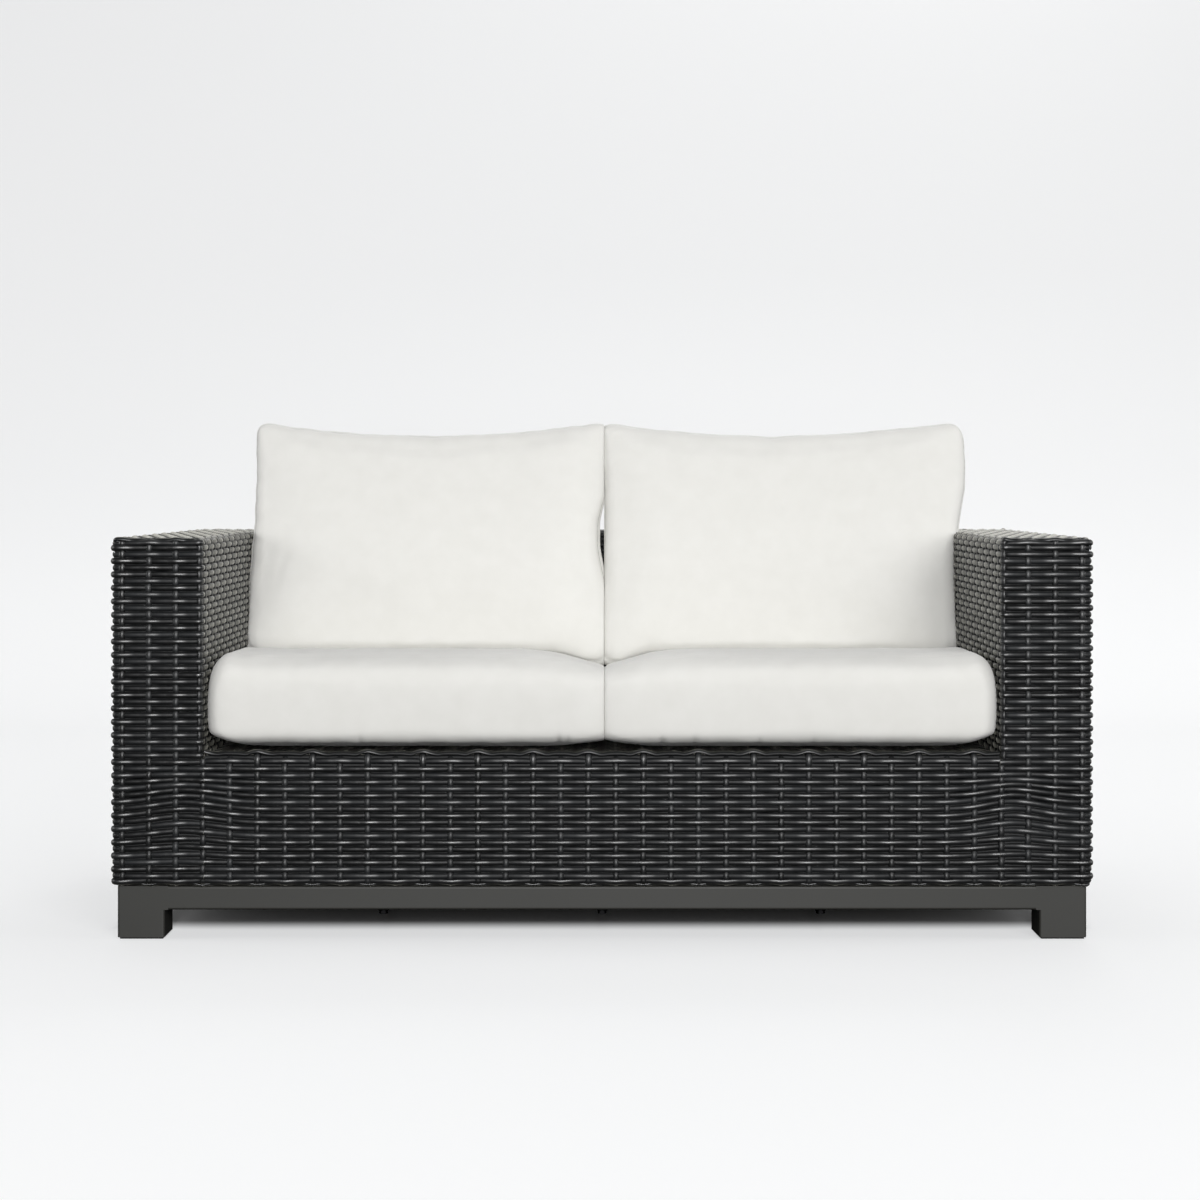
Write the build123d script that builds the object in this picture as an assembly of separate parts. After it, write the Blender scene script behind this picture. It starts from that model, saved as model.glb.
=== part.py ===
"""Patio loveseat: a woven resin body on a welded tube frame, a low metal plinth
and four loose cushions, each a sewn cover over its filling.

Units are millimetres. +Z is up, the front faces -Y, and the origin lies on the
floor under the middle of the seat. Left and right are as seen from the front.
"""
import math
import os

from build123d import *

# Overall size of the woven body
body_width = 1650.0
body_depth = 850.0
arm_height = 675.0
arm_width = 158.0
back_thickness = 165.0
deck_height = 306.0

# Woven skin
weave_thickness = 6.0
weave_edge_radius = 12.0
weave_lip = 32.0
weave_relief = 2.4
stake_width = 9.0
stake_pitch = 45.2
apron_return = 60.0

# Plinth
plinth_inset = 11.0
plinth_height = 89.0
rail_height = 40.0
rail_depth = 40.0
rail_wall = 2.0
foot_width = 79.0
foot_wall = 3.0
glide_thickness = 3.0
glide_plug_height = 14.0
glide_margin = 4.0
bearer_width = 40.0

# Frame tubes
tube_size = 25.0
tube_wall = 1.5
slat_count = 5
apron_upright_count = 3
back_upright_count = 3
arm_cross_count = 3

# Plinth fasteners
bolt_diameter = 8.0
bolt_head_across = 13.0
bolt_head_height = 5.3
bolt_reach = 6.0
washer_diameter = 18.0
washer_thickness = 1.6
weld_nut_diameter = 10.8
weld_nut_flange = 12.4
weld_nut_flange_thickness = 1.2
weld_nut_height = 14.0

# Cushions
cover_thickness = 2.0
seat_cushion_thickness = 173.0
seat_edge_roll = 26.0
seat_corner_radius = 34.0
seat_drawn_in = 5.0
back_cushion_height = 401.0
back_cushion_thickness = 232.7
back_cushion_lean = 122.0
back_edge_roll = 30.0
back_corner_radius = 26.0
back_side_drawn_in = 7.0
back_top_dip = 22.0

# Clearances
fit_gap = 0.3
hole_gap = 0.5
thread_gap = 0.03
overrun = 10.0

# Rise and inset of a cushion's outlines, as shares of its thickness and edge roll,
# and the growth of their corner radius, as a share of the inset
corner_growth_share = 0.3
seat_rise_shares = (0.0, 0.05, 0.16, 0.36, 0.60, 0.80, 0.91, 0.97, 1.0)
seat_inset_shares = (0.85, 0.34, 0.06, 0.0, 0.0, 0.12, 0.55, 1.7, 5.2)
back_rise_shares = (0.0, 0.05, 0.12, 0.24, 0.40, 0.60, 0.78, 0.90, 0.96, 1.0)
back_inset_shares = (3.4, 1.25, 0.4, 0.04, 0.0, 0.0, 0.12, 0.6, 1.5, 3.6)

# Worked out from the sizes above
half_width = body_width / 2
half_depth = body_depth / 2
front_y = -half_depth
rear_y = half_depth
arm_inner_x = half_width - arm_width
back_front_y = rear_y - back_thickness
tube_corner = weave_edge_radius - weave_thickness
skin_to_tube = weave_thickness + fit_gap
seat_width = 2 * arm_inner_x
cushion_width = (seat_width - 3 * fit_gap) / 2
frame_bottom = plinth_height + skin_to_tube
frame_top = arm_height - skin_to_tube
seat_tube_top = deck_height - skin_to_tube
seat_cushion_bottom = deck_height + fit_gap
back_cushion_bottom = seat_cushion_bottom + seat_cushion_thickness + fit_gap
plinth_half_width = half_width - plinth_inset
plinth_half_depth = half_depth - plinth_inset
foot_centre_x = plinth_half_width - foot_width / 2
foot_centre_y = plinth_half_depth - foot_width / 2


def block(x, y, z):
    """Solid between two places along each axis, each given as a (low, high) pair."""
    size = Box(x[1] - x[0], y[1] - y[0], z[1] - z[0])
    return Pos((x[0] + x[1]) / 2, (y[0] + y[1]) / 2, (z[0] + z[1]) / 2) * size


def rounded_block(x, y, z, radius, pairs):
    """Block with some edges rounded, each named by the two faces that meet there."""
    solid = block(x, y, z)
    faces = {
        "left": ("X", x[0]), "right": ("X", x[1]),
        "front": ("Y", y[0]), "rear": ("Y", y[1]),
        "bottom": ("Z", z[0]), "top": ("Z", z[1]),
    }

    def lies_on(edge, face):
        axis, place = faces[face]
        return math.isclose(getattr(edge.center(), axis), place, abs_tol=fit_gap)

    edges = [e for e in solid.edges() if any(lies_on(e, a) and lies_on(e, b) for a, b in pairs)]
    return fillet(edges, radius)


def tube(start, end, width=tube_size, height=tube_size, wall=tube_wall, corner=tube_corner):
    """Hollow square tube between two points that differ along one axis."""
    start, end = Vector(*start), Vector(*end)
    along = end - start
    side = Vector(0, 0, 1) if abs(along.Z) < fit_gap else Vector(1, 0, 0)
    plane = Plane(origin=start, x_dir=side.cross(along).normalized(), z_dir=along.normalized())
    outer = RectangleRounded(width, height, corner)
    inner = RectangleRounded(width - 2 * wall, height - 2 * wall, max(corner - wall, wall))
    return extrude(plane * (outer - inner), amount=along.length)


def spaced(low, high, count):
    """Places of a number of pieces spread evenly, with even room at both ends."""
    step = (high - low) / (count + 1)
    return [low + step * (i + 1) for i in range(count)]


def mirrored(solid):
    """The same solid on the other side of the seat's middle plane."""
    return solid.mirror(Plane.YZ)


# Woven panels
def stake_bays(low, high):
    """Spans between the upright stakes of a woven side, each a (low, high) pair."""
    count = max(round((high - low) / stake_pitch), 1)
    step = (high - low) / count
    return [(low + i * step + stake_width / 2, low + (i + 1) * step - stake_width / 2)
            for i in range(count)]


def skin_zone(face):
    """Depth range of the relief on a face, from under its surface to past it."""
    inward = math.copysign(weave_relief, face[1])
    outward = math.copysign(overrun, face[1])
    return tuple(sorted((face[0] - inward, face[0] + outward)))


def relief(skin, cuts):
    """The skin with the bays between its stakes sunk, so that the stakes stand out as ribs."""
    return skin - [block(x, y, z) for x, y, z in cuts]


def arm_bays():
    """Bays of the right arm's outer, inner, front and rear sides and of its top."""
    edge = weave_edge_radius
    tall = (plinth_height + edge, arm_height - edge)
    over_seat = (deck_height + edge, arm_height - edge)
    deep = stake_bays(front_y + edge, rear_y - edge)
    inner = stake_bays(front_y + edge, back_front_y - edge)
    wide = stake_bays(arm_inner_x + edge, half_width - edge)
    outer_face, inner_face = skin_zone((half_width, 1)), skin_zone((arm_inner_x, -1))
    cuts = [(outer_face, y, tall) for y in deep]
    cuts += [(inner_face, y, over_seat) for y in inner]
    cuts += [(x, skin_zone((front_y, -1)), tall) for x in wide]
    cuts += [(x, skin_zone((rear_y, 1)), tall) for x in wide]
    cuts += [((arm_inner_x + edge, half_width - edge), y, skin_zone((arm_height, 1))) for y in deep]
    return cuts


def back_bays():
    """Bays of the back's front, top and rear."""
    edge = weave_edge_radius
    across = stake_bays(-arm_inner_x, arm_inner_x)
    cuts = [(x, skin_zone((back_front_y, -1)), (deck_height + edge, arm_height - edge)) for x in across]
    cuts += [(x, (back_front_y + edge, rear_y - edge), skin_zone((arm_height, 1))) for x in across]
    cuts += [(x, skin_zone((rear_y, 1)), (plinth_height + edge, arm_height - edge)) for x in across]
    return cuts


def apron_bays():
    """Bays of the apron's front."""
    edge = weave_edge_radius
    return [(x, skin_zone((front_y, -1)), (plinth_height + edge, deck_height - edge))
            for x in stake_bays(-arm_inner_x, arm_inner_x)]


def arm_weave():
    """Right arm's woven skin: open underneath and towards the back and the seat frame."""
    x = (arm_inner_x, half_width)
    y = (front_y, rear_y)
    z = (plinth_height, arm_height)
    whole = rounded_block(x, y, z, weave_edge_radius,
                          [("front", "right"), ("rear", "right"), ("bottom", "right"),
                           ("bottom", "front"), ("bottom", "rear"), ("top", "right"),
                           ("top", "front"), ("top", "rear")])
    upper = rounded_block(x, (front_y, back_front_y), (deck_height, arm_height), weave_edge_radius,
                          [("front", "right"), ("front", "left"), ("top", "right"),
                           ("top", "left"), ("top", "front")])
    upper_zone = block((x[0] - overrun, x[1] + overrun), (y[0] - overrun, back_front_y),
                       (deck_height, arm_height + overrun))
    outside = (whole - upper_zone) + upper
    inside = block((x[0] + weave_thickness, x[1] - weave_thickness),
                   (y[0] + weave_thickness, y[1] - weave_thickness),
                   (z[0] + weave_thickness, z[1] - weave_thickness))
    to_seat = block((x[0] - overrun, x[0] + overrun),
                    (y[0] + weave_thickness, y[1] - weave_thickness),
                    (z[0] - overrun, deck_height - weave_thickness))
    to_back = block((x[0] - overrun, x[0] + overrun),
                    (back_front_y + weave_thickness, y[1] - weave_thickness),
                    (z[0] - overrun, z[1] - weave_thickness))
    underside = block((x[0] - overrun, x[1] - weave_lip),
                      (y[0] + weave_lip, y[1] - weave_lip),
                      (z[0] - overrun, z[0] + overrun))
    return relief(outside - inside - to_seat - to_back - underside, arm_bays())


def back_weave():
    """Woven skin of the back between the arms: front, top and rear, open at the ends."""
    x = (-arm_inner_x, arm_inner_x)
    y = (back_front_y, rear_y)
    z = (plinth_height, arm_height)
    outside = rounded_block(x, y, z, weave_edge_radius,
                            [("top", "front"), ("top", "rear"), ("bottom", "rear")])
    inside = block((x[0] - overrun, x[1] + overrun),
                   (y[0] + weave_thickness, y[1] - weave_thickness),
                   (z[0] + weave_thickness, z[1] - weave_thickness))
    below_deck = block((x[0] - overrun, x[1] + overrun),
                       (y[0] - overrun, y[1] - weave_lip),
                       (z[0] - overrun, z[0] + overrun))
    front_below_deck = block((x[0] - overrun, x[1] + overrun),
                             (y[0] - overrun, y[0] + overrun),
                             (z[0] - overrun, deck_height - weave_thickness))
    return relief(outside - inside - below_deck - front_below_deck, back_bays())


def apron_weave():
    """Woven front apron with its top turned back over the seat's front beam."""
    x = (-arm_inner_x, arm_inner_x)
    y = (front_y, front_y + apron_return)
    z = (plinth_height, deck_height)
    outside = rounded_block(x, y, z, weave_edge_radius, [("top", "front"), ("bottom", "front")])
    inside = block((x[0] - overrun, x[1] + overrun),
                   (y[0] + weave_thickness, y[1] + overrun),
                   (z[0] + weave_thickness, z[1] - weave_thickness))
    underside = block((x[0] - overrun, x[1] + overrun),
                      (y[0] + weave_lip, y[1] + overrun),
                      (z[0] - overrun, z[0] + overrun))
    return outside - inside - underside


def deck_weave():
    """Flat woven deck from the apron's return to the back."""
    return block((-arm_inner_x, arm_inner_x), (front_y + apron_return, back_front_y),
                 (deck_height - weave_thickness, deck_height))


# Tube frame
tube_half = tube_size / 2
outer_tube_x = half_width - skin_to_tube - tube_half
inner_tube_x = arm_inner_x + skin_to_tube + tube_half
front_tube_y = front_y + skin_to_tube + tube_half
rear_tube_y = rear_y - skin_to_tube - tube_half
back_front_tube_y = back_front_y + skin_to_tube + tube_half
top_tube_z = frame_top - tube_half
bottom_tube_z = frame_bottom + tube_half
seat_tube_z = seat_tube_top - tube_half
arm_side_x = inner_tube_x - tube_half


def arm_posts():
    """Upright tubes at the arm's corners and where the back begins."""
    places = [(outer_tube_x, front_tube_y), (outer_tube_x, rear_tube_y),
              (inner_tube_x, front_tube_y), (inner_tube_x, rear_tube_y),
              (inner_tube_x, back_front_tube_y)]
    return [tube((px, py, frame_bottom), (px, py, frame_top - tube_size)) for px, py in places]


def arm_top_rails():
    """Two long tubes on top of the posts, from front to rear."""
    return [tube((px, front_tube_y - tube_half, top_tube_z),
                 (px, rear_tube_y + tube_half, top_tube_z)) for px in (inner_tube_x, outer_tube_x)]


def arm_bottom_rails():
    """Long tubes between the posts at the foot of the arm."""
    front = front_tube_y + tube_half
    rear = rear_tube_y - tube_half
    middle = (back_front_tube_y - tube_half, back_front_tube_y + tube_half)
    return [tube((outer_tube_x, front, bottom_tube_z), (outer_tube_x, rear, bottom_tube_z)),
            tube((inner_tube_x, front, bottom_tube_z), (inner_tube_x, middle[0], bottom_tube_z)),
            tube((inner_tube_x, middle[1], bottom_tube_z), (inner_tube_x, rear, bottom_tube_z))]


def arm_cross_tubes():
    """Short tubes that tie the arm's inner and outer sides together, at the top and foot."""
    start = inner_tube_x + tube_half
    end = outer_tube_x - tube_half
    foot = [tube((start, py, bottom_tube_z), (end, py, bottom_tube_z))
            for py in (front_tube_y, rear_tube_y)]
    top_places = [front_tube_y, *spaced(front_tube_y, rear_tube_y, arm_cross_count), rear_tube_y]
    return foot + [tube((start, py, top_tube_z), (end, py, top_tube_z)) for py in top_places]


def across(y, z):
    """Tube across the seat between the two arm frames."""
    return tube((-arm_side_x, y, z), (arm_side_x, y, z))


def back_uprights():
    """Tubes that stand in the front and rear sides of the back."""
    places = spaced(-arm_side_x, arm_side_x, back_upright_count)
    low, high = seat_tube_z + tube_half, top_tube_z - tube_half
    front = [tube((px, back_front_tube_y, low), (px, back_front_tube_y, high)) for px in places]
    rear = [tube((px, rear_tube_y, frame_bottom + tube_size), (px, rear_tube_y, high))
            for px in places]
    return front + rear


def back_spacers():
    """Short tubes between the two top rails of the back."""
    places = spaced(-arm_side_x, arm_side_x, back_upright_count)
    return [tube((px, back_front_tube_y + tube_half, top_tube_z),
                 (px, rear_tube_y - tube_half, top_tube_z)) for px in places]


def seat_slats():
    """Tubes from the front beam to the rear beam, under the woven deck."""
    return [tube((px, front_tube_y + tube_half, seat_tube_z),
                 (px, back_front_tube_y - tube_half, seat_tube_z))
            for px in spaced(-arm_side_x, arm_side_x, slat_count)]


def apron_uprights():
    """Short upright tubes behind the apron."""
    return [tube((px, front_tube_y, frame_bottom + tube_size),
                 (px, front_tube_y, seat_tube_z - tube_half))
            for px in spaced(-arm_side_x, arm_side_x, apron_upright_count)]


# Plinth
rail_z = plinth_height - rail_height / 2
rail_corner = 2 * rail_wall
rail_centre_x = plinth_half_width - rail_depth / 2
rail_centre_y = plinth_half_depth - rail_depth / 2
foot_inner_x = plinth_half_width - foot_width
foot_inner_y = plinth_half_depth - foot_width
bolt_length = rail_height + skin_to_tube + tube_wall + weld_nut_height - bolt_reach
bolt_x_places = spaced(-foot_inner_x, foot_inner_x, 3)
bolt_y_places = spaced(-foot_inner_y, foot_inner_y, 1)


def plinth_rail(start, end):
    """Rectangular plinth tube between two feet."""
    return tube(start, end, rail_depth, rail_height, rail_wall, rail_corner)


def bolt_places():
    """Where bolts rise through the plinth: front, rear, left and right rails."""
    front_rear = [(px, py) for px in bolt_x_places for py in (front_tube_y, rear_tube_y)]
    sides = [(px, py) for px in (-outer_tube_x, outer_tube_x) for py in bolt_y_places]
    return front_rear + sides


def upright_cylinder(place, radius, low, high):
    """Upright round solid at a place, between two heights."""
    return Pos(place[0], place[1], low) * extrude(Circle(radius), amount=high - low)


def bolt_hole(place, radius, low, high):
    """Cutter for a bolt's way through, run past both faces."""
    return upright_cylinder(place, radius, low - overrun, high + overrun)


def drilled(solid, places, radius, low, high):
    """The solid with bolt holes through it between two heights."""
    for place in places:
        solid -= bolt_hole(place, radius, low, high)
    return solid


def feet():
    """Four square corner feet, each a box open underneath, keyed by corner."""
    outer = extrude(RectangleRounded(foot_width, foot_width, rail_corner),
                    amount=plinth_height - glide_thickness)
    bore = foot_width - 2 * foot_wall
    inner = extrude(RectangleRounded(bore, bore, rail_wall),
                    amount=plinth_height - glide_thickness - foot_wall)
    foot = outer - inner
    return {
        f"{end}_{hand}_foot": Pos(sx * foot_centre_x, sy * foot_centre_y, glide_thickness) * foot
        for end, sy in (("front", -1), ("rear", 1)) for hand, sx in (("left", -1), ("right", 1))
    }


def glides():
    """Nylon plugs pushed up into the feet, each with a flange that meets the floor."""
    flange = foot_width - 2 * glide_margin
    plug = foot_width - 2 * foot_wall - 2 * fit_gap
    shape = extrude(RectangleRounded(flange, flange, rail_corner), amount=glide_thickness)
    shape += extrude(RectangleRounded(plug, plug, rail_wall),
                     amount=glide_thickness + glide_plug_height)
    return [Pos(sx * foot_centre_x, sy * foot_centre_y, 0) * shape
            for sx in (-1, 1) for sy in (-1, 1)]


def plinth_rails():
    """Four rails between the feet, drilled for the bolts, keyed by side."""
    hole = bolt_diameter / 2 + hole_gap
    rails = {}
    for name, sy in (("plinth_front_rail", -1), ("plinth_rear_rail", 1)):
        py = sy * rail_centre_y
        rails[name] = plinth_rail((-foot_inner_x, py, rail_z), (foot_inner_x, py, rail_z))
    for name, sx in (("plinth_left_rail", -1), ("plinth_right_rail", 1)):
        px = sx * rail_centre_x
        rails[name] = plinth_rail((px, -foot_inner_y, rail_z), (px, foot_inner_y, rail_z))
    return {name: drilled(rail, bolt_places(), hole, plinth_height - rail_height, plinth_height)
            for name, rail in rails.items()}


bearer_places = sorted({round(p, 6) for p in (spaced(-arm_side_x, arm_side_x, slat_count)[0],
                                              spaced(-arm_side_x, arm_side_x, slat_count)[-1])})


def plinth_bearers():
    """Tubes under the seat between the front and rear plinth rails."""
    reach = plinth_half_depth - rail_depth
    return [tube((px, -reach, rail_z), (px, reach, rail_z),
                 bearer_width, rail_height, rail_wall, rail_corner) for px in bearer_places]


def seat_posts():
    """Short posts that carry the outer slats on the plinth bearers."""
    middle = (front_y + back_front_y) / 2
    return [tube((px, middle, plinth_height), (px, middle, seat_tube_z - tube_half))
            for px in bearer_places]


def bolts():
    """Hexagon bolts, heads below the plinth rails."""
    head_low = plinth_height - rail_height - washer_thickness - bolt_head_height
    head = extrude(RegularPolygon(bolt_head_across / 2, 6, major_radius=False),
                   amount=bolt_head_height)
    shank = extrude(Circle(bolt_diameter / 2), amount=bolt_head_height + washer_thickness + bolt_length)
    return [Pos(px, py, head_low) * (head + shank) for px, py in bolt_places()]


def washers():
    """Plain washers between the bolt heads and the rails."""
    low = plinth_height - rail_height - washer_thickness
    ring = Circle(washer_diameter / 2) - Circle(bolt_diameter / 2 + fit_gap)
    return [Pos(px, py, low) * extrude(ring, amount=washer_thickness) for px, py in bolt_places()]


def weld_nuts():
    """Weld nuts seated in the bottom tubes, where the bolts screw in."""
    floor = frame_bottom + tube_wall
    flange = Circle(weld_nut_flange / 2) - Circle(bolt_diameter / 2 + thread_gap)
    barrel = Circle(weld_nut_diameter / 2) - Circle(bolt_diameter / 2 + thread_gap)
    shape = extrude(flange, amount=weld_nut_flange_thickness)
    shape += extrude(barrel, amount=weld_nut_height)
    return [Pos(px, py, floor) * shape for px, py in bolt_places()]


# Cushions
def outline(place, half, span, corner, drawn_in, inset):
    """Closed outline with drawn-in sides and round corners, inset from a cushion's full size."""
    left, right = -half + inset, half - inset
    low, high = span[0] + inset, span[1] - inset
    radius = corner + inset * corner_growth_share
    away = radius * (1 - math.sqrt(0.5))
    across_share = ((right - left - 2 * radius) / (2 * half - 2 * corner)) ** 2
    upright_share = ((high - low - 2 * radius) / (span[1] - span[0] - 2 * corner)) ** 2
    bottom_in, top_in = drawn_in[0] * across_share, drawn_in[2] * across_share
    side_in = drawn_in[1] * upright_share
    middle = (low + high) / 2

    def run(a, b, c):
        straight = math.isclose(b[0], (a[0] + c[0]) / 2) and math.isclose(b[1], (a[1] + c[1]) / 2)
        return Line(place(*a), place(*c)) if straight else ThreePointArc(place(*a), place(*b), place(*c))

    return Wire([
        run((left + radius, low), (0, low + bottom_in), (right - radius, low)),
        run((right - radius, low), (right - away, low + away), (right, low + radius)),
        run((right, low + radius), (right - side_in, middle), (right, high - radius)),
        run((right, high - radius), (right - away, high - away), (right - radius, high)),
        run((right - radius, high), (0, high - top_in), (left + radius, high)),
        run((left + radius, high), (left + away, high - away), (left, high - radius)),
        run((left, high - radius), (left + side_in, middle), (left, low + radius)),
        run((left, low + radius), (left + away, low + away), (left + radius, low)),
    ])


def seat_cushion(centre, shrink):
    """Seat cushion's form, drawn in on all sides by the same amount when shrunk."""
    low, high = seat_cushion_bottom + shrink, seat_cushion_bottom + seat_cushion_thickness - shrink
    span = (front_y + shrink, back_front_y - fit_gap - shrink)
    sections = []
    for rise, inset in zip(seat_rise_shares, seat_inset_shares):
        def place(u, v, z=low + (high - low) * rise):
            return (centre + u, v, z)
        wire = outline(place, cushion_width / 2 - shrink, span, seat_corner_radius,
                       (seat_drawn_in,) * 3, inset * seat_edge_roll)
        sections.append(Face(wire))
    return loft(sections, ruled=True)


def back_cushion(centre, shrink):
    """Back cushion's form: an upright rear and a front that leans back as it rises."""
    rear = back_front_y - fit_gap - shrink
    front = back_front_y - fit_gap - back_cushion_thickness + shrink
    span = (shrink, back_cushion_height - shrink)
    sections = []
    for rise, inset in zip(back_rise_shares, back_inset_shares):
        def place(u, v, rise=rise):
            lean = front + back_cushion_lean * v / back_cushion_height
            return (centre + u, lean + (rear - lean) * rise, back_cushion_bottom + v)
        wire = outline(place, cushion_width / 2 - shrink, span, back_corner_radius,
                       (0, back_side_drawn_in, back_top_dip), inset * back_edge_roll)
        sections.append(Face(wire))
    return loft(sections, ruled=True)


def cushion_nodes(name, form, centre):
    """A cushion's cover, hollow for its filling, and the filling inside it."""
    cover = form(centre, 0) - form(centre, cover_thickness)
    filling = form(centre, cover_thickness + fit_gap)
    return {f"{name}_cover": cover, f"{name}_filling": filling}


def both_arms(name, pieces):
    """A right arm's pieces and their mirror image for the left arm, keyed by node."""
    return {f"right_arm_{name}": pieces, f"left_arm_{name}": [mirrored(p) for p in pieces]}


def drilled_frame(solids):
    """Bottom tubes with the bolts' holes in their lower wall."""
    hole = bolt_diameter / 2 + hole_gap
    return [drilled(s, bolt_places(), hole, frame_bottom, frame_bottom) for s in solids]


def model():
    """Every node of the loveseat, each a list of its solids."""
    nodes = {}
    lip_hole = bolt_diameter / 2 + hole_gap

    def lipped(skin):
        return drilled(skin, bolt_places(), lip_hole, plinth_height, plinth_height)

    nodes.update(both_arms("weave", [lipped(arm_weave())]))
    nodes["back_weave"] = [lipped(back_weave())]
    nodes["front_apron_weave"] = [lipped(apron_weave())]
    nodes["seat_deck_weave"] = [deck_weave()]
    nodes.update(both_arms("posts", arm_posts()))
    nodes.update(both_arms("top_rails", arm_top_rails()))
    nodes.update(both_arms("bottom_rails", drilled_frame(arm_bottom_rails())))
    nodes.update(both_arms("cross_tubes", arm_cross_tubes()))
    nodes["back_top_rails"] = [across(back_front_tube_y, top_tube_z), across(rear_tube_y, top_tube_z)]
    nodes["back_bottom_rail"] = drilled_frame([across(rear_tube_y, bottom_tube_z)])
    nodes["back_uprights"] = back_uprights()
    nodes["back_spacers"] = back_spacers()
    nodes["seat_front_beam"] = [across(front_tube_y, seat_tube_z)]
    nodes["seat_rear_beam"] = [across(back_front_tube_y, seat_tube_z)]
    nodes["seat_slats"] = seat_slats()
    nodes["seat_posts"] = seat_posts()
    nodes["apron_bottom_rail"] = drilled_frame([across(front_tube_y, bottom_tube_z)])
    nodes["apron_uprights"] = apron_uprights()
    nodes.update({name: [rail] for name, rail in plinth_rails().items()})
    nodes.update({name: [foot] for name, foot in feet().items()})
    nodes["foot_glides"] = glides()
    nodes["plinth_bearers"] = plinth_bearers()
    nodes["plinth_bolts"] = bolts()
    nodes["plinth_washers"] = washers()
    nodes["plinth_weld_nuts"] = weld_nuts()
    for hand, side in (("left", -1), ("right", 1)):
        centre = side * (cushion_width + fit_gap) / 2
        nodes.update(cushion_nodes(f"{hand}_seat_cushion", seat_cushion, centre))
        nodes.update(cushion_nodes(f"{hand}_back_cushion", back_cushion, centre))
    return nodes


def write(nodes):
    """One STEP file per node, named after it."""
    os.makedirs("parts", exist_ok=True)
    for name, solids in nodes.items():
        found = [s for piece in solids for s in piece.solids()]
        shape = found[0] if len(found) == 1 else Compound(children=found)
        shape.label = name
        export_step(shape, f"parts/{name}.step")


write(model())
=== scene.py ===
"""Patio loveseat: the looks of its woven resin body, plinth and cushions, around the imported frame."""

import logging
import math
from dataclasses import dataclass, field, replace
from enum import Enum
from typing import Any, Callable, Sequence

import bmesh
import bpy
import numpy as np
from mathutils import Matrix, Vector, noise


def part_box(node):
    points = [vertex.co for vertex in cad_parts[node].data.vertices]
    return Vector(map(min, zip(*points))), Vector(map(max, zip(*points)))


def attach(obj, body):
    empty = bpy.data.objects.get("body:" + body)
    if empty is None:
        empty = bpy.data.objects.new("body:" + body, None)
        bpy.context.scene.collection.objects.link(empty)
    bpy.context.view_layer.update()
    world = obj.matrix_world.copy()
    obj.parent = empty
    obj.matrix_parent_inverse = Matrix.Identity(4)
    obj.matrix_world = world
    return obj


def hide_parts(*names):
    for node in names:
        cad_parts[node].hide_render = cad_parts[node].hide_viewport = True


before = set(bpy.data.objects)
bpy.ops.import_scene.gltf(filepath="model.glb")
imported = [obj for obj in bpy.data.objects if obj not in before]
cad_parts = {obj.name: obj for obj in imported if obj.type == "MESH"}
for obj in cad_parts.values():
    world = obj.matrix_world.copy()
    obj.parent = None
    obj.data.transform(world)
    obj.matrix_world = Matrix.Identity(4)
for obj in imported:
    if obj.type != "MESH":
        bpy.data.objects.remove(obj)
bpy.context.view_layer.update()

Socket, Material = bpy.types.NodeSocket, bpy.types.Material
Piece, Mesh = bpy.types.Object, bpy.types.Mesh

log = logging.getLogger("loveseat")
logging.basicConfig(level=logging.INFO, format="%(name)s: %(message)s")

MM = 0.001
NOISE_GAIN = 1.6


def linear(hex_colour: str) -> tuple[float, float, float, float]:
    """Turn an sRGB hex colour to linear light.

    Args:
        hex_colour: Six hex digits after a hash.

    Returns:
        Red, green, blue and full alpha.
    """
    parts = [int(hex_colour[i:i + 2], 16) / 255 for i in (1, 3, 5)]
    bent = [p / 12.92 if p <= 0.04045 else ((p + 0.055) / 1.055) ** 2.4 for p in parts]
    return (*bent, 1.0)


def add(tree: bpy.types.NodeTree, kind: str, inputs: dict | None = None, **settings: Any) -> bpy.types.Node:
    """Add a node with its settings and links.

    Args:
        tree: The tree that gets the node.
        kind: The node's type.
        inputs: Value or socket for each input, keyed by name or index.
        **settings: Properties of the node.

    Returns:
        The node.
    """
    node = tree.nodes.new(kind)
    for name, value in settings.items():
        setattr(node, name, value)
    for key, value in (inputs or {}).items():
        if isinstance(value, Socket):
            tree.links.new(value, node.inputs[key])
        else:
            node.inputs[key].default_value = value
    return node


def piece_of(name: str, data: bpy.types.ID) -> Piece:
    """Put a mesh, light or camera into the scene as an object.

    Args:
        name: The object's name.
        data: What it shows.

    Returns:
        The object.
    """
    piece = bpy.data.objects.new(name, data)
    bpy.context.scene.collection.objects.link(piece)
    return piece


def evaluated(piece: Piece) -> Mesh:
    """Make a new mesh of what an object's modifiers give.

    Args:
        piece: The object.

    Returns:
        The mesh.
    """
    bpy.context.view_layer.update()
    graph = bpy.context.evaluated_depsgraph_get()
    return bpy.data.meshes.new_from_object(piece.evaluated_get(graph), depsgraph=graph)


def smooth(mesh: Mesh) -> None:
    """Shade every face of a mesh smooth."""
    for face in mesh.polygons:
        face.use_smooth = True


def recalculate(mesh: Mesh) -> None:
    """Turn every face of a closed mesh outward.

    Args:
        mesh: The mesh, which is changed.
    """
    work = bmesh.new()
    work.from_mesh(mesh)
    bmesh.ops.recalc_face_normals(work, faces=work.faces)
    work.to_mesh(mesh)
    work.free()


def rows_of(source: bpy.types.bpy_prop_collection, name: str) -> np.ndarray:
    """One vector of every item of a collection, as rows.

    Args:
        source: The collection.
        name: The vector's property.

    Returns:
        One row of three for each item.
    """
    flat = np.empty(len(source) * 3)
    source.foreach_get(name, flat)
    return flat.reshape(-1, 3)


def points_and_normals(mesh: Mesh) -> tuple[np.ndarray, np.ndarray]:
    """All points of a mesh, in metres, and the outward direction at each."""
    return rows_of(mesh.vertices, "co"), rows_of(mesh.vertex_normals, "vector")


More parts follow.
